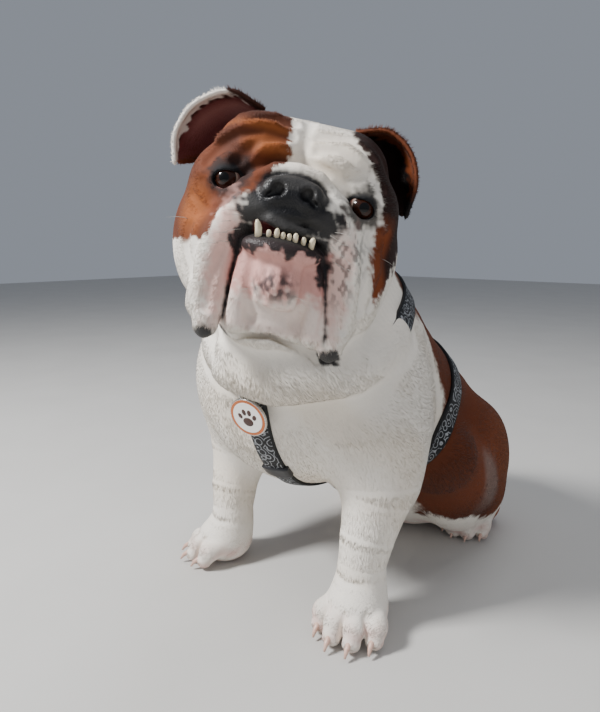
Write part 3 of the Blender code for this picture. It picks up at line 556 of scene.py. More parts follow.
def ragged(p, size, seed):
    """A smooth random number, about -1 to 1, at each point, with blots about size across."""
    draw = np.random.default_rng(seed)
    total = np.zeros(p.shape[:-1], np.float32)
    for _ in range(5):
        way = draw.normal(size=3)
        way *= 2 * np.pi / (size * draw.uniform(1.2, 3.0) * np.linalg.norm(way))
        total += np.sin(p @ way.astype(np.float32) + draw.uniform(0, 6.28))
    return total / 2.2


def inside(distance, soft):
    """1 where the distance is below zero, 0 where it is above, soft across the edge."""
    return np.clip(0.5 - distance / soft, 0, 1)


def oval(q, centre, radii):
    """About the distance outside an upright oval as seen from in front of the head."""
    x, z = (q[..., 0] - centre[0]) / radii[0], (q[..., 2] - centre[1]) / radii[1]
    return (np.sqrt(x * x + z * z) - 1) * min(radii)


def over(base, colour, amount):
    return base + (colour - base) * amount[..., None]


def body_colour(p):
    x, y, z = p[..., 0], p[..., 1], p[..., 2]
    edge = 0.006 * ragged(p, 0.020, 3) + 0.002 * ragged(p, 0.005, 4)
    colour = np.broadcast_to(WHITE_HAIR, p.shape).copy()
    colour = over(colour, CREAM_HAIR, 0.35 * np.clip(ragged(p, 0.05, 5), 0, 1))
    front = np.interp(z, (0.10, 0.15, 0.167, 0.197, 0.222, 0.266, 0.30, 0.322, 0.36, 0.46),
                      (0.125, 0.14, 0.155, 0.178, 0.184, 0.180, 0.166, 0.144, 0.120, 0.105))
    brown = over(np.broadcast_to(BROWN_HAIR, p.shape), DEEP_BROWN, 0.38 + 0.20 * ragged(p, 0.06, 6))
    brown = over(brown, ORANGE_HAIR_AND_PAINTED_HIGHLIGHT, 0.45 * inside(0.30 - y, 0.08) * inside(z - 0.16, 0.08))
    colour = over(colour, brown, inside(front - y + edge, 0.006))
    belly = inside(np.maximum(z - 0.085, np.abs(x) - 0.06) + edge, 0.012) * inside(y - 0.27, 0.02)
    colour = over(colour, WHITE_HAIR, belly)
    # A grey patch low on the left flank is painted shade on the white coat.
    flank = np.sqrt(((y - 0.250) / 0.020) ** 2 + ((z - 0.110) / 0.036) ** 2) - 1 + 40 * edge
    colour = over(colour, PAINTED_SHADE_GREY, 0.45 * inside(flank, 0.8) * inside(-x, 0.01))
    hind = inside(np.maximum(z - 0.052 + edge, y - 0.325), 0.006)
    colour = over(colour, WHITE_HAIR, hind)
    colour = over(colour, WHITE_HAIR, inside(0.024 - x + edge, 0.008) * inside(0.375 - y, 0.004) * inside(z - 0.11, 0.01))
    toes = inside(z - 0.030, 0.02) * np.clip(0.45 + 0.4 * ragged(p, 0.012, 8), 0, 1)
    return over(colour, PINK_SKIN, 0.45 * toes * inside(z - 0.04, 0.02))


def head_colour(q):
    """Colour and bareness on the head, in its own frame."""
    x, y, z = q[..., 0], q[..., 1], q[..., 2]
    a = np.abs(x)
    edge = 0.0022 * ragged(q, 0.008, 11) + 0.0012 * ragged(q, 0.003, 12)
    fine = ragged(q, 0.0022, 13)
    back = inside(0.03 - y, 0.02)
    colour = np.broadcast_to(WHITE_HAIR, q.shape).copy()
    colour = over(colour, CREAM_HAIR, 0.5 * inside(oval(q, (0.025, 0.036), (0.03, 0.025)), 0.02))
    lower = np.interp(-x, (0.008, 0.0205, 0.026, 0.047, 0.058, 0.0615, 0.063, 0.10),
                      (0.023, 0.0140, -0.007, -0.0190, -0.0290, -0.043, -0.053, -0.058))
    brown = over(np.broadcast_to(BROWN_HAIR, q.shape), DEEP_BROWN, np.clip(0.42 + 0.25 * ragged(q, 0.018, 14), 0, 1))
    # Painted highlights: lighter orange on the lit brow bump, on the raised fold above it and on the right cheek.
    brown = over(brown, ORANGE_HAIR_AND_PAINTED_HIGHLIGHT, 0.60 * inside(oval(q, (-0.030, 0.034), (0.018, 0.008)), 0.008))
    brown = over(brown, ORANGE_HAIR_AND_PAINTED_HIGHLIGHT, 0.6 * inside(oval(q, (-0.040, 0.0500), (0.030, 0.004)), 0.006))
    brown = over(brown, ORANGE_HAIR_AND_PAINTED_HIGHLIGHT, 0.75 * inside(oval(q, (-0.083, -0.030), (0.012, 0.022)), 0.012))
    brown = over(brown, DEEP_BROWN, 0.8 * inside(0.060 - z, 0.02))
    # Painted shade: the coat in the creases of the face is darkened, the brown towards dark hair and the white towards
    # grey.
    folds = fold_depth(q)
    brown = over(brown, DARK_HAIR_AND_PAINTED_SHADE, 0.85 * folds)
    colour = over(colour, PAINTED_SHADE_GREY, 0.22 * folds)
    colour = over(colour, brown, inside(np.maximum(x + 0.003 + 0.22 * z, lower - z) + edge, 0.0025))
    side = x + 0.35 * np.maximum(y - 0.06, 0)
    inner = np.interp(z, (-0.0757, -0.0635, -0.0405, -0.005, 0.0136, 0.0456, 0.0637, 0.09),
                      (0.088, 0.0837, 0.0756, 0.0795, 0.074, 0.054, 0.0386, 0.030))
    outer = np.interp(z, (-0.0757, -0.0535, -0.0276, 0.0), (0.088, 0.0985, 0.104, 0.3))
    stripe = inside(np.maximum(np.maximum(inner - side, side - outer), -0.0757 - z) + edge, 0.003)
    # Painted shade: the stripe's brown hair is painted near black for the shade it lies in, and it stays brown only
    # low down at its inner edge.
    dark = over(np.broadcast_to(DARK_HAIR_AND_PAINTED_SHADE, q.shape), BROWN_HAIR, inside(z + 0.008, 0.02) * inside(side - inner - 0.013, 0.006))
    colour = over(colour, dark, stripe)
    for centre, radii, hair, amount in (((-0.056, 0.002), (0.0210, 0.0190), DARK_HAIR_AND_PAINTED_SHADE, 0.94),
                                        ((0.059, -0.001), (0.0165, 0.0165), BLACK_HAIR, 0.88)):
        colour = over(colour, hair, amount * inside(oval(q, centre, radii) + edge, 0.006) * inside(y - 0.05, 0.01))
    face = inside(y - 0.035, 0.01)
    pink = inside(oval(q, (-0.047, -0.066), (0.015, 0.052)) + edge, 0.010) * face
    colour = over(colour, FLEW_PINK, 0.75 * pink)
    pink = inside(oval(q, (0.049, -0.075), (0.013, 0.045)) + edge, 0.010) * face
    colour = over(colour, FLEW_PINK, 0.65 * pink)
    spots = inside(oval(q, (0.053, -0.050), (0.018, 0.034)), 0.012) * np.clip(3 * ragged(q, 0.0035, 15) - 0.6, 0, 1)
    colour = over(colour, LIP_SKIN_AND_PAINTED_SHADE, 0.6 * spots * face)
    chin = inside(np.maximum(a - 0.043, z + 0.044), 0.004) * inside(-0.118 - z, 0.01) * inside(y - 0.012, 0.01)
    colour = over(colour, PINK_SKIN, 0.85 * chin)
    colour = over(colour, WHITE_HAIR, 0.70 * chin * inside(z + 0.089 + edge * 2.5, 0.016))
    dark = inside(oval(q, (0.0, -0.081), (0.016, 0.012)) + edge, 0.008)
    colour = over(colour, LIP_SKIN_AND_PAINTED_SHADE, 0.85 * chin * dark * np.clip(0.65 + ragged(q, 0.004, 16), 0, 1))
    # Painted shade in the creases of the pink chin.
    colour = over(colour, LIP_SKIN_AND_PAINTED_SHADE, 0.45 * chin * folds)
    bare = 0.45 * chin + 0.25 * pink
    sideways = np.stack([x, 0 * x, 0 * x], -1)
    lip_edge = -0.0555 + 0.0060 * ragged(sideways, 0.0070, 17) + edge
    lip = inside(np.maximum(np.maximum(a - 0.0375, lip_edge - z), z + 0.0345), 0.0025) * inside(y - 0.006, 0.004)
    corners = np.minimum(oval(q, (-0.034, -0.046), (0.009, 0.012)), oval(q, (0.036, -0.056), (0.006, 0.016)))
    lip = np.maximum(lip, inside(corners + edge, 0.003) * inside(y - 0.012, 0.004))
    moustache = inside(oval(q, (-0.002, -0.0215), (0.0475, 0.0175)) + edge, 0.004) * inside(y - 0.014, 0.006)
    nose = inside(oval(q, (0, -0.0050), (0.0325, 0.0195)) + 0.3 * edge, 0.003) * inside(y + 0.006, 0.004)
    # Black in the gaps between the hanging upper lips and the folds: black lip skin at their edges, and painted shade
    # inside them.
    gap = np.minimum(*(limb(q * np.array((1, 0, 1), np.float32), *(((u, 0, w), 0) for u, w in places))
                       for places in GAPS))
    gap = inside(gap - 0.0019 + 0.3 * edge, 0.0025) * inside(y - 0.016, 0.004) * inside(-0.122 - z, 0.01)
    tips = np.minimum(oval(q, (-0.0515, -0.1335), (0.0120, 0.0085)), oval(q, (0.0585, -0.1325), (0.0105, 0.0080)))
    tips = inside(tips + edge, 0.003) * face
    mouth = inside(np.abs(z + 0.0352) - 0.0040, 0.002) * inside(np.abs(x + 0.006) - 0.021, 0.003) * inside(-0.022 - y, 0.003)
    for amount, skin, shows in ((moustache, BLACK_SKIN, 0.55), (lip, BLACK_SKIN, 0.85), (nose, BLACK_SKIN, 1.0),
                                (gap, BLACK_SKIN, 0.9), (tips, BLACK_SKIN, 0.9)):
        colour = over(colour, skin, 0.97 * amount)
        bare = np.maximum(bare, shows * amount)
    colour = over(colour, GUM, 0.9 * mouth)
    bare = np.maximum(bare, mouth)
    ball_place = np.array(EYE_PLACE, np.float32)
    rim = np.sqrt(((np.stack([a, y, z], -1) - ball_place) ** 2).sum(-1)) - EYE_RADIUS
    wet = inside(rim - 0.0016, 0.001) * inside(y - 0.010, 0.004)
    rim = inside(rim - 0.0034, 0.0012) * inside(y - 0.010, 0.004)
    colour = over(colour, BLACK_SKIN, rim)
    haw = inside(np.abs(z + 0.0088) - 0.0010, 0.001) * inside(np.abs(x + 0.0600) - 0.005, 0.003)
    colour = over(colour, HAW, 0.7 * rim * haw)
    return colour + 0.02 * fine[..., None] * colour, np.maximum(bare, wet)


def ear_colour(q, side, points):
    """Colour on an ear, and how far each point belongs to it."""
    squares = (q * q).sum(-1)[:, None] + (points * points).sum(-1) - 2 * q @ points.T
    nearest = squares.argmin(-1)
    share = inside(np.sqrt(np.maximum(squares.min(-1), 0)) - 0.0055, 0.001)
    u, v = (nearest // EAR_STEPS[1]) / (EAR_STEPS[0] - 1), (nearest % EAR_STEPS[1]) / (EAR_STEPS[1] - 1)
    swell = (q - points[nearest]) @ np.array((0.62, 0.35, 0.70), np.float32)
    cup = inside(swell, 0.002)
    edge = 0.08 * ragged(q, 0.006, 21)
    if side < 0:
        colour = over(np.broadcast_to(DEEP_BROWN, q.shape), BROWN_HAIR, 0.6 * inside(u - 0.35, 0.3))
        colour = over(colour, EAR_SKIN, cup * inside(u - 0.80 + edge, 0.1))
        colour = over(colour, HAW, 0.4 * cup * inside(np.abs(u - 0.5) - 0.12, 0.25) * inside(v - 0.7, 0.3))
        colour = over(colour, WHITE_HAIR, inside(0.74 - u + edge, 0.06) * inside(0.26 - v + edge, 0.06))
    else:
        colour = over(np.broadcast_to(BLACK_HAIR, q.shape), DARK_HAIR_AND_PAINTED_SHADE, inside(u - 0.4, 0.3))
        colour = over(colour, BROWN_HAIR, 0.8 * cup * inside(0.66 - u + edge, 0.1) * inside(v - 0.85, 0.1))
    return colour, share * inside(0.10 - u, 0.1), cup * inside(u - 0.8, 0.1)


def markings(p):
    """The colour of skin or coat at each point of the dog's frame, and how bare it is."""
    colour, bare = body_colour(p), np.zeros(len(p), np.float32)
    local = to_head(p)
    near = slab(local, (0, 0.04, -0.015), (0.16, 0.105, 0.14), 0.01) < 0
    q = local[near]
    share = inside(slab(q, (0, 0.04, -0.022), (0.15, 0.095, 0.127), 0.03), 0.012)
    found, shows = head_colour(q)
    colour[near] = over(colour[near], found, share)
    bare[near] = shows * share
    for side, points in EARS:
        q = local * np.array((side, 1, 1), np.float32)
        near = slab(q, (0.082, 0.074, 0.046), (0.056, 0.048, 0.058), 0.001) < 0
        found, share, cup = ear_colour(q[near], side, points)
        colour[near] = over(colour[near], found, share)
        bare[near] = np.maximum(bare[near] * (1 - share), 0.9 * cup * share)
    return np.clip(colour, 0, 1), bare


def chunked(function, p):
    """A function that gives arrays for points, run over them in parallel."""
    with ThreadPoolExecutor(4) as workers:
        results = list(workers.map(function, np.array_split(p, 24)))
    return [np.concatenate(column) for column in zip(*results)]


def tinted(mesh, colour, bare):
    """Stores each point's colour, with its bareness as alpha."""
    layer = mesh.color_attributes.new("tint", "FLOAT_COLOR", "POINT")
    layer.data.foreach_set("color", np.concatenate([colour, bare[:, None]], 1).astype(np.float32).ravel())


def add(tree, kind, sockets=(), **properties):
    """Adds a node with its properties, and sets or links its sockets."""
    made = tree.nodes.new("ShaderNode" + kind)
    for name, value in properties.items():
        setattr(made, name, value)
    for name, value in dict(sockets).items():
        if isinstance(value, bpy.types.NodeSocket):
            tree.links.new(value, made.inputs[name])
        else:
            made.inputs[name].default_value = value
    return made


def finish_of(name):
    """A new material, its node tree and its shader."""
    material = bpy.data.materials.new(name)
    material.use_nodes = True
    return material, material.node_tree, material.node_tree.nodes["Principled BSDF"]


def set_on(tree, shader, sockets):
    for name, value in sockets.items():
        if isinstance(value, bpy.types.NodeSocket):
            tree.links.new(value, shader.inputs[name])
        else:
            shader.inputs[name].default_value = value


# Skin: matt and finely pored under the hair, moist and pebbled where it is bare.
skin_finish, tree, shader = finish_of("dog_skin")
tint = add(tree, "Attribute", attribute_name="tint")
place = add(tree, "TexCoord")
pores = add(tree, "TexVoronoi", {"Vector": place.outputs["Object"], "Scale": 700.0})
hairs = add(tree, "TexNoise", {"Vector": place.outputs["Object"], "Scale": 900.0, "Detail": 3.0})
pore_height = add(tree, "Math", {0: pores.outputs["Distance"], 1: tint.outputs["Alpha"]}, operation="MULTIPLY")
pore_bump = add(tree, "Bump", {"Strength": 0.6, "Distance": 0.0006, "Height": pore_height.outputs["Value"]})
hair_bump = add(tree, "Bump", {"Strength": 0.4, "Distance": 0.0005, "Height": hairs.outputs["Fac"],
                               "Normal": pore_bump.outputs["Normal"]})
gloss = add(tree, "MapRange", {"Value": tint.outputs["Alpha"], "To Min": 0.80, "To Max": 0.42})
set_on(tree, shader, {"Base Color": tint.outputs["Color"], "Roughness": gloss.outputs["Result"],
                      "Normal": hair_bump.outputs["Normal"], "IOR": 1.4})
skin_colour, skin_bare = chunked(markings, skin_points)
# Skin under the hair is painted 3% darker, as painted shade under the coat.
tinted(skin_mesh, skin_colour * (1 - 0.03 * (1 - skin_bare[:, None])), skin_bare)
skin_mesh.transform(Matrix.Translation(OFFSET.tolist()))
skin = shown("skin", skin_mesh, skin_finish)
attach(skin, "root")
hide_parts("head", "neck", "torso", "tail", "ear_left", "ear_right", "foreleg_left", "foreleg_right",
            "forepaw_left", "forepaw_right", "thigh_left", "thigh_right", "hind_paw_left", "hind_paw_right")

# The harness webbing
# Black polyester webbing, 25 mm wide and about 2 mm thick, with a small pale printed pattern. One
# loop goes round the neck and one round the girth, joined along the chest and along the back.

STRAP_WIDTH, STRAP_OUT, STRAP_IN = 0.025, 0.003, 0.0016
GIRTH_LOOP = (0.0, 0.194, 0.20), (0, 0.70, -0.71)


def path_through(points, count):
    """A path on the flesh through points, which stops at the girth strap."""
    points = np.array(points, np.float32)
    knots = np.linspace(0, 1, len(points))
    at = np.linspace(0, 1, 300)
    fine = laid(np.stack([smooth(knots, points[:, i], at) for i in range(3)], -1).astype(np.float32))
    centre, normal = GIRTH_LOOP
    normal = np.array(normal) / np.linalg.norm(normal)
    fine = fine[np.abs((fine - centre) @ normal) > STRAP_WIDTH / 2]
    return fine[np.linspace(0, len(fine) - 1, count).round().astype(int)]


def softened(rows, closed):
    """Rows of points, each moved half way to the middle of its neighbours along the strap, so that it lies taut."""
    for _ in range(6):
        before, after = np.roll(rows, 1, 0), np.roll(rows, -1, 0)
        if not closed:
            before[0], after[-1] = rows[0], rows[-1]
        rows = (rows + (before + after) / 2) / 2
    return rows


def strap(name, path, width, height, depth, closed, material):
    """A flat strap with rounded edges on a path, its map in metres along and across it."""
    path = path.astype(np.float32)
    along = np.roll(path, -1, 0) - np.roll(path, 1, 0) if closed else np.gradient(path, axis=0)
    out = slope(path)
    aside = np.cross(out, along)
    aside /= np.linalg.norm(aside, axis=-1, keepdims=True)
    across = np.array((-0.5, -0.47, -0.3, -0.1, 0.1, 0.3, 0.47, 0.5), np.float32)
    rows = laid(path[:, None] + aside[:, None] * across[:, None] * width)
    out = slope(rows)
    crown = np.array((0.55, 1, 1, 1, 1, 1, 1, 0.55))[None, :, None]
    top = softened(rows + out * height * crown, closed)
    under = softened(rows - out * depth, closed)
    rings = np.concatenate([top, under[:, ::-1]], 1)
    count, corners = rings.shape[:2]
    length = np.concatenate([[0], np.cumsum(np.linalg.norm(np.diff(path, axis=0), axis=1))])
    shape = bmesh.new()
    points = [[shape.verts.new(p) for p in ring] for ring in rings.tolist()]
    layer = shape.loops.layers.uv.new("OFWeave")
    sides = np.concatenate([across, across[::-1]]) * width
    last = count if closed else count - 1
    for i in range(last):
        j = (i + 1) % count
        far = length[i + 1] if i + 1 < count else length[-1] + np.linalg.norm(path[0] - path[-1])
        for k in range(corners):
            m = (k + 1) % corners
            face = shape.faces.new((points[i][k], points[i][m], points[j][m], points[j][k]))
            for loop, place in zip(face.loops, ((length[i], sides[k]), (length[i], sides[m]),
                                                (far, sides[m]), (far, sides[k]))):
                loop[layer].uv = place
    if not closed:
        shape.faces.new(points[0][::-1])
        shape.faces.new(points[-1])
    bmesh.ops.recalc_face_normals(shape, faces=shape.faces)
    shape.transform(Matrix.Translation(OFFSET.tolist()))
    mesh = bpy.data.meshes.new(name)
    shape.to_mesh(mesh)
    shape.free()
    mesh.shade_smooth()
    piece = shown(name + "_webbing", mesh, material)
    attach(piece, "root")
    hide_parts(name)
    return piece


# Woven polyester: a matt plain weave, drawn at 1.6 mm a thread so that it shows, with small pale
# printed lozenges and dots every 12 mm, and a plain selvedge.
webbing, tree, shader = finish_of("polyester_webbing")
place = add(tree, "UVMap", uv_map="OFWeave")
split = add(tree, "SeparateXYZ", {"Vector": place.outputs["UV"]})
warp = add(tree, "TexWave", {"Vector": place.outputs["UV"], "Scale": 100.0}, bands_direction="X")
weft = add(tree, "TexWave", {"Vector": place.outputs["UV"], "Scale": 100.0}, bands_direction="Y")
weave = add(tree, "Math", {0: warp.outputs["Fac"], 1: weft.outputs["Fac"]}, operation="MULTIPLY")
bump = add(tree, "Bump", {"Strength": 0.7, "Distance": 0.0004, "Height": weave.outputs["Value"]})
curls = add(tree, "TexVoronoi", {"Vector": place.outputs["UV"], "Scale": 95.0}, feature="F1")
rings = add(tree, "Math", {0: curls.outputs["Distance"], 1: 20.0}, operation="MULTIPLY")
rings = add(tree, "Math", {0: rings.outputs["Value"]}, operation="SINE")
inked = add(tree, "MapRange", {"Value": rings.outputs["Value"], "From Min": 0.60, "From Max": 0.85})
aside = add(tree, "Math", {0: split.outputs["Y"]}, operation="ABSOLUTE")
middle = add(tree, "Math", {0: aside.outputs["Value"], 1: 0.0105}, operation="LESS_THAN")
inked = add(tree, "Math", {0: inked.outputs["Result"], 1: middle.outputs["Value"]}, operation="MULTIPLY")
worn = add(tree, "Math", {0: inked.outputs["Value"], 1: 0.60}, operation="MULTIPLY")
colour = add(tree, "Mix", {0: worn.outputs["Value"]}, data_type="RGBA")
colour.inputs[6].default_value = (*linear("#0d0d0f"), 1)
colour.inputs[7].default_value = (*linear("#b9bcc0"), 1)
set_on(tree, shader, {"Base Color": colour.outputs[2], "Roughness": 0.62, "IOR": 1.5,
                      "Normal": bump.outputs["Normal"]})

line = path_through(((0.022, -0.044, 0.272), (0.022, -0.048, 0.235), (0.020, -0.02, 0.175),
                     (0.012, 0.03, 0.135), (0.002, 0.110, 0.115)), 49)
spine = path_through(((-0.004, 0.155, 0.365), (-0.002, 0.20, 0.33), (0, 0.275, 0.265)), 27)
girth_loop = loop_round(*GIRTH_LOOP, 144)
strap("neck_strap", neck_loop, STRAP_WIDTH, STRAP_OUT, STRAP_IN, True, webbing)
strap("girth_strap", girth_loop, STRAP_WIDTH, STRAP_OUT, STRAP_IN, True, webbing)
strap("chest_strap", line, STRAP_WIDTH, STRAP_OUT - 0.0004, STRAP_IN, False, webbing)
strap("back_strap", spine, STRAP_WIDTH, STRAP_OUT - 0.0004, STRAP_IN, False, webbing)

# Moulded nylon keeper, satin black.
nylon, tree, shader = finish_of("moulded_nylon")
place = add(tree, "TexCoord")
grain = add(tree, "TexNoise", {"Vector": place.outputs["Object"], "Scale": 1500.0, "Detail": 2.0})
bump = add(tree, "Bump", {"Strength": 0.2, "Distance": 0.0002, "Height": grain.outputs["Fac"]})
set_on(tree, shader, {"Base Color": (*linear("#1c1c1f"), 1), "Roughness": 0.42, "IOR": 1.53,
                      "Normal": bump.outputs["Normal"]})
strap("slider", line[25:31], STRAP_WIDTH + 0.006, STRAP_OUT + 0.0018, STRAP_IN, False, nylon)

# The coat
# Short smooth hair, 4 to 9 mm long, lying back from the nose and down the body. Each tuft is a closed
# sliver rooted in the skin, and the tufts are shared between pieces by where they grow.

COAT_SHARE = 1.0


def lie(p, normals):
    """The way the hair points along the skin."""
    local = to_head(p)
    away = local - np.array((0, -0.030, -0.012), np.float32)
    away = away / (np.linalg.norm(away, axis=-1, keepdims=True) + 1e-6)
    away = (away + np.array((0, 0.25, -0.15), np.float32)) @ HEAD_TURN.T
    headward = inside(slab(local, (0, 0.04, -0.015), (0.125, 0.085, 0.12), 0.03), 0.05)[:, None]
    leg = (inside(p[:, 2] - 0.17, 0.08) * inside(p[:, 1] - 0.11, 0.04))[:, None]
    foot = inside(p[:, 2] - 0.045, 0.03)[:, None]
    way = np.array((0, 0.75, -0.6), np.float32) * (1 - leg) + np.array((0, 0.1, -1), np.float32) * leg
    way = way * (1 - foot) + np.array((0, -0.9, -0.3), np.float32) * foot
    way = way * (1 - headward) + away * headward
    stray = np.stack([ragged(p, 0.03, 31), ragged(p, 0.03, 32), ragged(p, 0.03, 33)], -1)
    way = way + 0.07 * stray
    way = way - normals * (way * normals).sum(-1, keepdims=True)
    return way / (np.linalg.norm(way, axis=-1, keepdims=True) + 1e-6)


def under_strap(p):
    """Whether hair would grow through a strap."""
    hidden = np.zeros(len(p), bool)
    for path in (neck_loop[::2], girth_loop[::2], line[::2], spine[::2]):
        squares = ((p[:, None] - path[None].astype(np.float32)) ** 2).sum(-1).min(-1)
        hidden |= squares < (STRAP_WIDTH / 2 + 0.0005) ** 2
    return hidden & (flesh(p) < 0.001)


def unwrapped(p, normals):
    """Each root's place on a six-sided unwrap of the skin's own shape."""
    low, high = p.min(0), p.max(0)
    flat = (p - low) / (high - low).max()
    axis = np.abs(normals).argmax(-1)
    rows = np.arange(len(p))
    u = flat[rows, (axis + 1) % 3]
    v = flat[rows, (axis + 2) % 3]
    cell = axis + 3 * (normals[rows, axis] > 0)
    return np.stack([(cell % 3 + 0.03 + 0.94 * u) / 3, (cell // 3 + 0.03 + 0.94 * v) / 2], -1)


def roots(count, seed):
    """Points scattered over the skin, and the skin's direction there."""
    mesh = skin_mesh
    corners = np.empty(len(mesh.loops), np.int32)
    mesh.loops.foreach_get("vertex_index", corners)
    quads = corners.reshape(-1, 4)
    normals = np.empty(len(mesh.vertices) * 3, np.float32)
    mesh.vertices.foreach_get("normal", normals)
    normals = normals.reshape(-1, 3)
    p = skin_points.astype(np.float32)
    a, b, c, d = (p[quads[:, i]] for i in range(4))
    area = np.linalg.norm(np.cross(c - a, d - b), axis=-1)
    middle = (a + b + c + d) / 4
    local = to_head(middle)
    on_head = slab(local, (0, 0.04, -0.015), (0.15, 0.095, 0.125), 0.03) < 0
    density = area * np.where(on_head, 2.3, 1.0) * (middle[:, 2] > 0.002)
    draw = np.random.default_rng(seed)
    total = np.cumsum(density)
    chosen = np.searchsorted(total, draw.random(count) * total[-1])
    s, t = draw.random((2, count, 1)).astype(np.float32)
    weights = ((1 - s) * (1 - t), s * (1 - t), s * t, (1 - s) * t)
    found = sum(w * corner[chosen] for w, corner in zip(weights, (a, b, c, d)))
    ways = sum(w * normals[quads[chosen, i]] for i, w in enumerate(weights))
    return found, ways / np.linalg.norm(ways, axis=-1, keepdims=True), on_head[chosen]


hair, tree, shader = finish_of("short_dog_hair")
tint = add(tree, "Attribute", attribute_name="tint")
set_on(tree, shader, {"Base Color": tint.outputs["Color"], "Roughness": 0.72, "IOR": 1.45,
                      "Specular IOR Level": 0.25, "Sheen Weight": 0.06})

root, out, on_head = roots(int(300000 * COAT_SHARE), 41)
colour, bare = chunked(markings, root)
draw = np.random.default_rng(42)
grows = draw.random(len(root)) > np.clip(bare * 1.5, 0, 1)
grows &= ~chunked(lambda p: (under_strap(p),), root)[0]
local = to_head(root)
mirror = np.abs(local[:, 0])
eye_off = np.sqrt(((np.stack([mirror, local[:, 1], local[:, 2]], -1) - EYE_PLACE) ** 2).sum(-1))
grows &= eye_off > EYE_RADIUS + 0.0030
root, out, on_head, colour, local, eye_off = (x[grows] for x in (root, out, on_head, colour, local, eye_off))
way = lie(root, out)
face = inside(np.linalg.norm(local - (0, -0.01, -0.02), axis=-1) - 0.075, 0.05)
deep = chunked(lambda p: (fold_depth(p),), local.astype(np.float32))[0] * on_head
on_ear = np.abs(local[:, 0]) > 0.094
length = np.where(on_head, 0.0052 - 0.0026 * face, 0.0082) * (1 - 0.6 * deep)
length = np.where(on_head & on_ear, 0.0034, length)
length = np.where(root[:, 2] < 0.06, 0.0042, length) * draw.uniform(0.75, 1.2, len(root))
length = np.minimum(length, 0.5 * (eye_off - EYE_RADIUS) + 0.001)
wide = np.where(on_head, 0.00060, 0.00105) * draw.uniform(0.8, 1.25, len(root))
tall = wide * 0.2
rise = length * draw.uniform(0.01, 0.05, len(root))
aside = np.cross(out, way)
shade = 1 + draw.uniform(-1, 1, len(root)) * np.where(on_head, 0.09, 0.04)
base = root - out * 0.0004
corners = np.stack([base + aside * (wide / 2)[:, None], base - aside * (wide / 2)[:, None],
                    base + out * (tall + 0.0004)[:, None] + way * (0.25 * length)[:, None],
                    base + way * length[:, None] + out * (rise + 0.0002)[:, None]], 1)
map_places = unwrapped(root, out)
patch = np.array(((-0.0015, -0.0015), (0.0015, -0.0015), (0, 0), (0, 0.0015)))
behind = ~on_head & (root[:, 1] >= 0.24)
forelegs = ~on_head & (root[:, 2] < 0.16) & (root[:, 1] < 0.13)
trunk_side = ~on_head & ~behind & ~forelegs & (root[:, 1] >= 0.06)
pieces = {
    "coat_ears": on_head & on_ear,
    "coat_head_right": on_head & ~on_ear & (local[:, 0] < 0),
    "coat_head_left": on_head & ~on_ear & (local[:, 0] >= 0),
    "coat_forelegs": forelegs,
    "coat_chest": ~on_head & ~forelegs & (root[:, 1] < 0.06),
    "coat_side_left": trunk_side & (root[:, 0] >= 0),
    "coat_side_right": trunk_side & (root[:, 0] < 0),
    "coat_haunch_left": behind & (root[:, 0] >= 0),
    "coat_haunch_right": behind & (root[:, 0] < 0),
}
for name, chosen in pieces.items():
    count = int(chosen.sum())
    points = corners[chosen].reshape(-1, 3) + OFFSET
    start = 4 * np.arange(count)[:, None, None]
    faces = (start + np.array(((0, 2, 3), (2, 1, 3), (1, 0, 3), (0, 1, 2)))).reshape(-1, 3)
    mesh = mesh_of(name, points, faces)
    strands = np.repeat(colour[chosen] * shade[chosen, None], 4, axis=0)
    # Painted shade at each tuft's root, and a little painted light at its tip.
    strands *= np.tile(np.array((0.94, 0.94, 0.99, 1.02)), count)[:, None]
    tinted(mesh, np.clip(strands, 0, 1), np.zeros(len(strands)))
    places = (map_places[chosen][:, None] + patch).reshape(-1, 2)
    layer = mesh.uv_layers.new(name="OFBake")
    layer.data.foreach_set("uv", places[faces.ravel()].astype(np.float32).ravel())
    piece = shown(name, mesh, hair)
    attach(piece, "root")


# The eyes
# Dark brown eyes, each a wet ball 25 mm across with a bulging cornea, deep between thick lids.

EYE_BALL, IRIS, PUPIL = 0.0125, 0.80, 0.34


def head_matrix():
    turn = Matrix(HEAD_TURN.tolist()).to_4x4()
    return Matrix.Translation((HEAD_ORIGIN + OFFSET).tolist()) @ turn


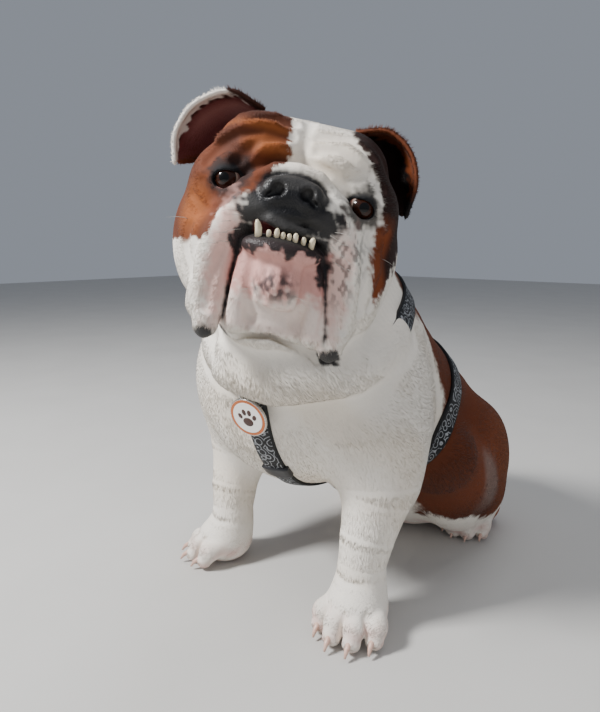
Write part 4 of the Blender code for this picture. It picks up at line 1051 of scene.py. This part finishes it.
eye_finish, tree, shader = finish_of("wet_eye")
tint = add(tree, "Attribute", attribute_name="tint")
set_on(tree, shader, {"Base Color": tint.outputs["Color"], "Roughness": 0.3, "IOR": 1.38,
                      "Specular IOR Level": 0.1, "Coat Weight": 1.0,
                      "Coat Roughness": 0.02, "Coat IOR": 1.38})
for name, side in (("eye_left", 1), ("eye_right", -1)):
    shape = bmesh.new()
    bmesh.ops.create_uvsphere(shape, u_segments=64, v_segments=96, radius=1)
    p = np.array([v.co for v in shape.verts], np.float32)
    angle = np.arccos(np.clip(p[:, 2], -1, 1))
    round_way = np.arctan2(p[:, 1], p[:, 0])
    bulge = 1 + 0.045 * np.exp(-(angle / 0.5) ** 2)
    streak = 0.5 + 0.5 * np.sin(round_way * 37 + 2 * np.sin(round_way * 11))
    colour = np.broadcast_to(linear("#a08c80"), p.shape).copy()
    colour = over(colour, linear("#6b352f"), inside(1.05 - angle, 0.2) * 0.7)
    colour = over(colour, linear("#0d0604"), inside(angle - IRIS - 0.08, 0.08))
    iris = over(np.broadcast_to(linear("#35190c"), p.shape), linear("#1c0b06"), streak * 0.7)
    colour = over(colour, iris, inside(angle - IRIS, 0.08))
    colour = over(colour, linear("#040303"), inside(angle - PUPIL, 0.04))
    mesh = bpy.data.meshes.new(name)
    for vert, grow in zip(shape.verts, bulge):
        vert.co *= float(grow) * EYE_BALL
    gaze = Matrix.Rotation(math.radians(90), 4, "X") @ Matrix.Rotation(math.radians(6) * side, 4, "Y")
    shape.transform(head_matrix() @ Matrix.Translation((side * EYE_PLACE[0], *EYE_PLACE[1:])) @ gaze)
    shape.to_mesh(mesh)
    shape.free()
    mesh.shade_smooth()
    tinted(mesh, colour, np.zeros(len(colour)))
    piece = shown(name + "_ball", mesh, eye_finish)
    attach(piece, "root")
    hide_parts(name)

# Teeth and claws
# The lower teeth stand over the upper lip, ivory and a little worn. The claws are horn, pale with a
# pink quick. Each is a curved taper rooted in its gum or toe.


def taper(shape, stations, sides):
    """A curved tapering tube through stations of a point and a radius, closed at both ends."""
    rings = []
    for i, (place, radius) in enumerate(stations):
        before, after = stations[max(i - 1, 0)][0], stations[min(i + 1, len(stations) - 1)][0]
        turn = (Vector(after) - Vector(before)).to_track_quat("Z", "Y").to_matrix()
        ring = []
        for k in range(sides):
            angle = 2 * math.pi * k / sides
            offset = Vector((math.cos(angle) * radius, math.sin(angle) * radius, 0))
            ring.append(shape.verts.new(Vector(place) + turn @ offset))
        rings.append(ring)
    for one, two in zip(rings, rings[1:]):
        for k in range(sides):
            m = (k + 1) % sides
            shape.faces.new((one[k], one[m], two[m], two[k]))
    shape.faces.new(rings[0][::-1])
    shape.faces.new(rings[-1])


def joined_piece(name, tapers, frame_matrix, material, sides=12, flipped=False):
    """Tapers as one piece, from the frame that they are given in."""
    shape = bmesh.new()
    for stations in tapers:
        taper(shape, stations, sides)
    shape.transform(frame_matrix)
    if flipped:
        bmesh.ops.reverse_faces(shape, faces=shape.faces)
    mesh = bpy.data.meshes.new(name)
    shape.to_mesh(mesh)
    shape.free()
    mesh.shade_smooth()
    piece = shown(name, mesh, material)
    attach(piece, "root")
    return piece


enamel, tree, shader = finish_of("tooth_enamel")
place = add(tree, "TexCoord")
stain = add(tree, "TexNoise", {"Vector": place.outputs["Object"], "Scale": 350.0, "Detail": 3.0})
colour = add(tree, "Mix", {0: stain.outputs["Fac"]}, data_type="RGBA")
colour.inputs[6].default_value = (*linear("#efe6cf"), 1)
colour.inputs[7].default_value = (*linear("#d2bd93"), 1)
set_on(tree, shader, {"Base Color": colour.outputs[2], "Roughness": 0.22, "IOR": 1.6})
teeth = []
for x, z, tall, wide, lean in ((-0.0205, -0.0400, 0.0092, 0.0030, -0.0036), (-0.0125, -0.0395, 0.0026, 0.0021, 0),
                               (-0.0060, -0.0395, 0.0052, 0.0024, 0), (-0.0008, -0.0395, 0.0030, 0.0021, 0),
                               (0.0043, -0.0395, 0.0029, 0.0021, 0), (0.0095, -0.0400, 0.0050, 0.0024, 0),
                               (0.0163, -0.0400, 0.0032, 0.0022, 0), (0.0232, -0.0405, 0.0048, 0.0026, 0.0010)):
    back = 4.0 * x * x
    teeth.append([((x, back - 0.0255, z - 0.004), wide), ((x + lean * 0.3, back - 0.0290, z + tall * 0.35), wide * 0.98),
                  ((x + lean * 0.7, back - 0.0302, z + tall * 0.75), wide * 0.75),
                  ((x + lean, back - 0.0304, z + tall), wide * 0.30)])
joined_piece("teeth", teeth, head_matrix(), enamel)

horn, tree, shader = finish_of("claw_horn")
place = add(tree, "TexCoord")
layers = add(tree, "TexNoise", {"Vector": place.outputs["Object"], "Scale": 500.0, "Detail": 4.0})
colour = add(tree, "Mix", {0: layers.outputs["Fac"]}, data_type="RGBA")
colour.inputs[6].default_value = (*linear("#e3c3b3"), 1)
colour.inputs[7].default_value = (*linear("#b98d7c"), 1)
set_on(tree, shader, {"Base Color": colour.outputs[2], "Roughness": 0.38, "IOR": 1.55})
for name, side, place, splay, size in (("claws_forepaw_left", 1, LEFT_PAW, LEFT_SPLAY, 1.0),
                                       ("claws_forepaw_right", -1, RIGHT_PAW, RIGHT_SPLAY, 1.0),
                                       ("claws_hind_left", 1, HIND_PAW, HIND_SPLAY, HIND_SIZE),
                                       ("claws_hind_right", -1, HIND_PAW, HIND_SPLAY, HIND_SIZE)):
    turn = Matrix.Translation(OFFSET.tolist()) @ Matrix.Diagonal((side, 1, 1, 1)) @ Matrix.Translation((*place, 0))
    turn = turn @ Matrix.Rotation(splay, 4, "Z") @ Matrix.Scale(size, 4)
    claws = [[((x, y + 0.004, 0.0150), 0.0036), ((x * 1.03, y - 0.006, 0.0145), 0.0034),
              ((x * 1.04, y - 0.0130, 0.0105), 0.0024), ((x * 1.05, y - 0.0170, 0.0050), 0.0010)] for x, y in TOES]
    joined_piece(name, claws, turn, horn, flipped=side < 0)

# Whiskers
# A few stiff hairs on each cushion of the muzzle, the chin and over each eye, tapering from 0.3 mm.

whisker, tree, shader = finish_of("whisker_hair")
tint = add(tree, "TexNoise", {"Scale": 40.0})
colour = add(tree, "Mix", {0: tint.outputs["Fac"]}, data_type="RGBA")
colour.inputs[6].default_value = (*linear("#f2ece2"), 1)
colour.inputs[7].default_value = (*linear("#5b534d"), 1)
set_on(tree, shader, {"Base Color": colour.outputs[2], "Roughness": 0.35, "IOR": 1.45})
draw = np.random.default_rng(51)
starts = []
for side in (1, -1):
    for x, z in ((0.036, -0.030), (0.042, -0.026), (0.048, -0.034), (0.040, -0.040), (0.050, -0.044),
                 (0.055, -0.055), (0.046, -0.052), (0.088, -0.040), (0.020, -0.085)):
        starts.append((side * (x + draw.uniform(-0.002, 0.002)), z + draw.uniform(-0.002, 0.002)))
whiskers = []
for place in front_of(head, *starts):
    base = Vector(place)
    sideways = 1 if place[0] > 0 else -1
    way = Vector((sideways * draw.uniform(0.7, 1.1), -draw.uniform(0.2, 0.6), draw.uniform(-0.45, 0.10))).normalized()
    reach = draw.uniform(0.012, 0.028)
    droop = Vector((0, 0, -0.25 * reach))
    whiskers.append([(base + way * (reach * t) + droop * t * t, 0.00022 * (1.05 - t)) for t in
                     (-0.08, 0.2, 0.45, 0.7, 0.9, 1.0)])
joined_piece("whiskers", whiskers, head_matrix(), whisker, sides=4)

# The tag
# A round metal disc 42 mm across, filled with coloured enamel round a simple paw print, on a wire ring.

TAG_RADIUS, TAG_THICKNESS = 0.021, 0.003


def turned_disc(shape, radius, low, high, edge, bulge=0.0):
    """A disc about Z with a rounded rim, its top raised by bulge at the middle."""
    profile = [(0, low), (radius - edge, low), (radius, low + edge), (radius, high - edge), (radius - edge, high),
               (radius * 0.6, high + bulge * 0.6), (0, high + bulge)]
    rings = []
    for r, z in profile:
        count = 1 if r == 0 else 64
        rings.append([shape.verts.new((r * math.cos(2 * math.pi * k / 64), r * math.sin(2 * math.pi * k / 64), z))
                      for k in range(count)])
    for one, two in zip(rings, rings[1:]):
        for k in range(64):
            m = (k + 1) % 64
            corners = [one[k % len(one)], one[m % len(one)], two[m % len(two)], two[k % len(two)]]
            shape.faces.new(list(dict.fromkeys(corners)))


chord = line[20] - line[6]
chord = chord / np.linalg.norm(chord)
out = slope(line[6:21]).mean(0)
out -= chord * (out @ chord)
out /= np.linalg.norm(out)
tag_low, tag_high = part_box("tag")
tag_middle = (tag_low + tag_high) / 2
tag_turn = Vector(out.tolist()).to_track_quat("Z", "Y").to_matrix().to_4x4()
tag_at = Matrix.Translation(tag_middle) @ tag_turn @ Matrix.Translation((0, -0.0042, 0))


def tag_piece(name, shape, material):
    shape.transform(tag_at)
    bmesh.ops.recalc_face_normals(shape, faces=shape.faces)
    mesh = bpy.data.meshes.new(name)
    shape.to_mesh(mesh)
    shape.free()
    mesh.shade_smooth()
    mesh.set_sharp_from_angle(angle=math.radians(40))
    piece = shown(name, mesh, material)
    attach(piece, "root")
    return piece


steel, tree, shader = finish_of("nickel_plated_steel")
place = add(tree, "TexCoord")
scratch = add(tree, "TexNoise", {"Vector": place.outputs["Object"], "Scale": 900.0, "Detail": 4.0})
rough = add(tree, "MapRange", {"Value": scratch.outputs["Fac"], "To Min": 0.18, "To Max": 0.38})
set_on(tree, shader, {"Base Color": (*linear("#c9c6c0"), 1), "Metallic": 1.0, "Roughness": rough.outputs["Result"]})


def glossy_enamel(name, code):
    """Fired enamel: smooth glass with a little waviness."""
    material, tree, shader = finish_of(name)
    place = add(tree, "TexCoord")
    wave = add(tree, "TexNoise", {"Vector": place.outputs["Object"], "Scale": 250.0})
    bump = add(tree, "Bump", {"Strength": 0.12, "Distance": 0.0003, "Height": wave.outputs["Fac"]})
    set_on(tree, shader, {"Base Color": (*linear(code), 1), "Roughness": 0.16, "IOR": 1.52,
                          "Normal": bump.outputs["Normal"]})
    return material


half = TAG_THICKNESS / 2
shape = bmesh.new()
turned_disc(shape, TAG_RADIUS, -half, half, 0.0006)
rim = tag_piece("tag_rim", shape, steel)
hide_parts("tag")
shape = bmesh.new()
turned_disc(shape, TAG_RADIUS - 0.0012, half - 0.0004, half + 0.0002, 0.0002)
tag_piece("tag_border", shape, glossy_enamel("tan_enamel", "#b5602c"))
shape = bmesh.new()
turned_disc(shape, TAG_RADIUS - 0.0042, half - 0.0002, half + 0.0004, 0.0002)
tag_piece("tag_field", shape, glossy_enamel("white_enamel", "#f1eee8"))
shape = bmesh.new()
for x, y, wide, tall, lean in ((0, -0.0046, 0.0062, 0.0050, 0), (-0.0082, 0.0012, 0.0024, 0.0033, 0.5),
                               (-0.0030, 0.0058, 0.0025, 0.0036, 0.15), (0.0030, 0.0058, 0.0025, 0.0036, -0.15),
                               (0.0082, 0.0012, 0.0024, 0.0033, -0.5)):
    made = bmesh.ops.create_uvsphere(shape, u_segments=28, v_segments=12, radius=1)["verts"]
    grow = Matrix.Translation((x, y, half + 0.0003)) @ Matrix.Rotation(lean, 4, "Z")
    bmesh.ops.transform(shape, verts=made, matrix=grow @ Matrix.Diagonal((wide, tall, 0.0005, 1)))
tag_piece("tag_paw_print", shape, glossy_enamel("brown_enamel", "#3a1c12"))
bpy.ops.mesh.primitive_torus_add(major_radius=0.0055, minor_radius=0.0009, major_segments=48, minor_segments=14)
ring = bpy.context.object
ring.name = "tag_ring"
ring.data.transform(tag_at @ Matrix.Translation((0, TAG_RADIUS + 0.0035, 0)))
ring.data.materials.append(steel)
ring.data.shade_smooth()
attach(ring, "root")

# The studio
# A plain pale floor, soft light from the upper left of the camera and a weak fill from the right.

floor_finish, tree, shader = finish_of("pale_floor")
place = add(tree, "TexCoord")
mottle = add(tree, "TexNoise", {"Vector": place.outputs["Object"], "Scale": 6.0, "Detail": 4.0})
colour = add(tree, "Mix", {0: mottle.outputs["Fac"]}, data_type="RGBA")
colour.inputs[6].default_value = (*linear("#c9c7c3"), 1)
colour.inputs[7].default_value = (*linear("#bebcb8"), 1)
set_on(tree, shader, {"Base Color": colour.outputs[2], "Roughness": 0.7})
bpy.ops.mesh.primitive_plane_add(size=12)
floor = bpy.context.object
floor.name = "floor"
floor.data.materials.append(floor_finish)
floor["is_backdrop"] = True

world = bpy.data.worlds.new("studio")
world.use_nodes = True
world.node_tree.nodes["Background"].inputs["Color"].default_value = (0.80, 0.87, 1.0, 1)
world.node_tree.nodes["Background"].inputs["Strength"].default_value = 0.32
bpy.context.scene.world = world

CAMERA_PLACE = Vector((0.4333, -0.5695, 0.40))
CAMERA_YAW, CAMERA_DIP = math.radians(42.0), math.radians(10.9)
LENS, SENSOR = 29.12, 36.0
camera = bpy.data.objects.new("camera", bpy.data.cameras.new("camera"))
camera.data.lens = LENS
camera.data.sensor_width = SENSOR
camera.data.clip_start = 0.01
camera.location = CAMERA_PLACE
camera.rotation_euler = (math.pi / 2 - CAMERA_DIP, 0, CAMERA_YAW)
bpy.context.scene.collection.objects.link(camera)
bpy.context.scene.camera = camera

middle = Vector((0.02, -0.05, 0.30))
for name, place, size, power in (("key", (-0.75, -1.45, 1.75), 0.45, 88), ("fill", (1.7, -0.5, 0.7), 1.6, 7),
                                 ("top", (0.1, 0.4, 2.0), 1.2, 12)):
    light = bpy.data.objects.new(name, bpy.data.lights.new(name, "AREA"))
    light.data.size = size
    light.data.energy = power
    light.location = place
    light.visible_glossy = name == "key"
    light.rotation_euler = (middle - Vector(place)).to_track_quat("-Z", "Y").to_euler()
    bpy.context.scene.collection.objects.link(light)

size = {"cad": [list(corner) for corner in cad_box], "visual": [list(corner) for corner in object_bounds()]}
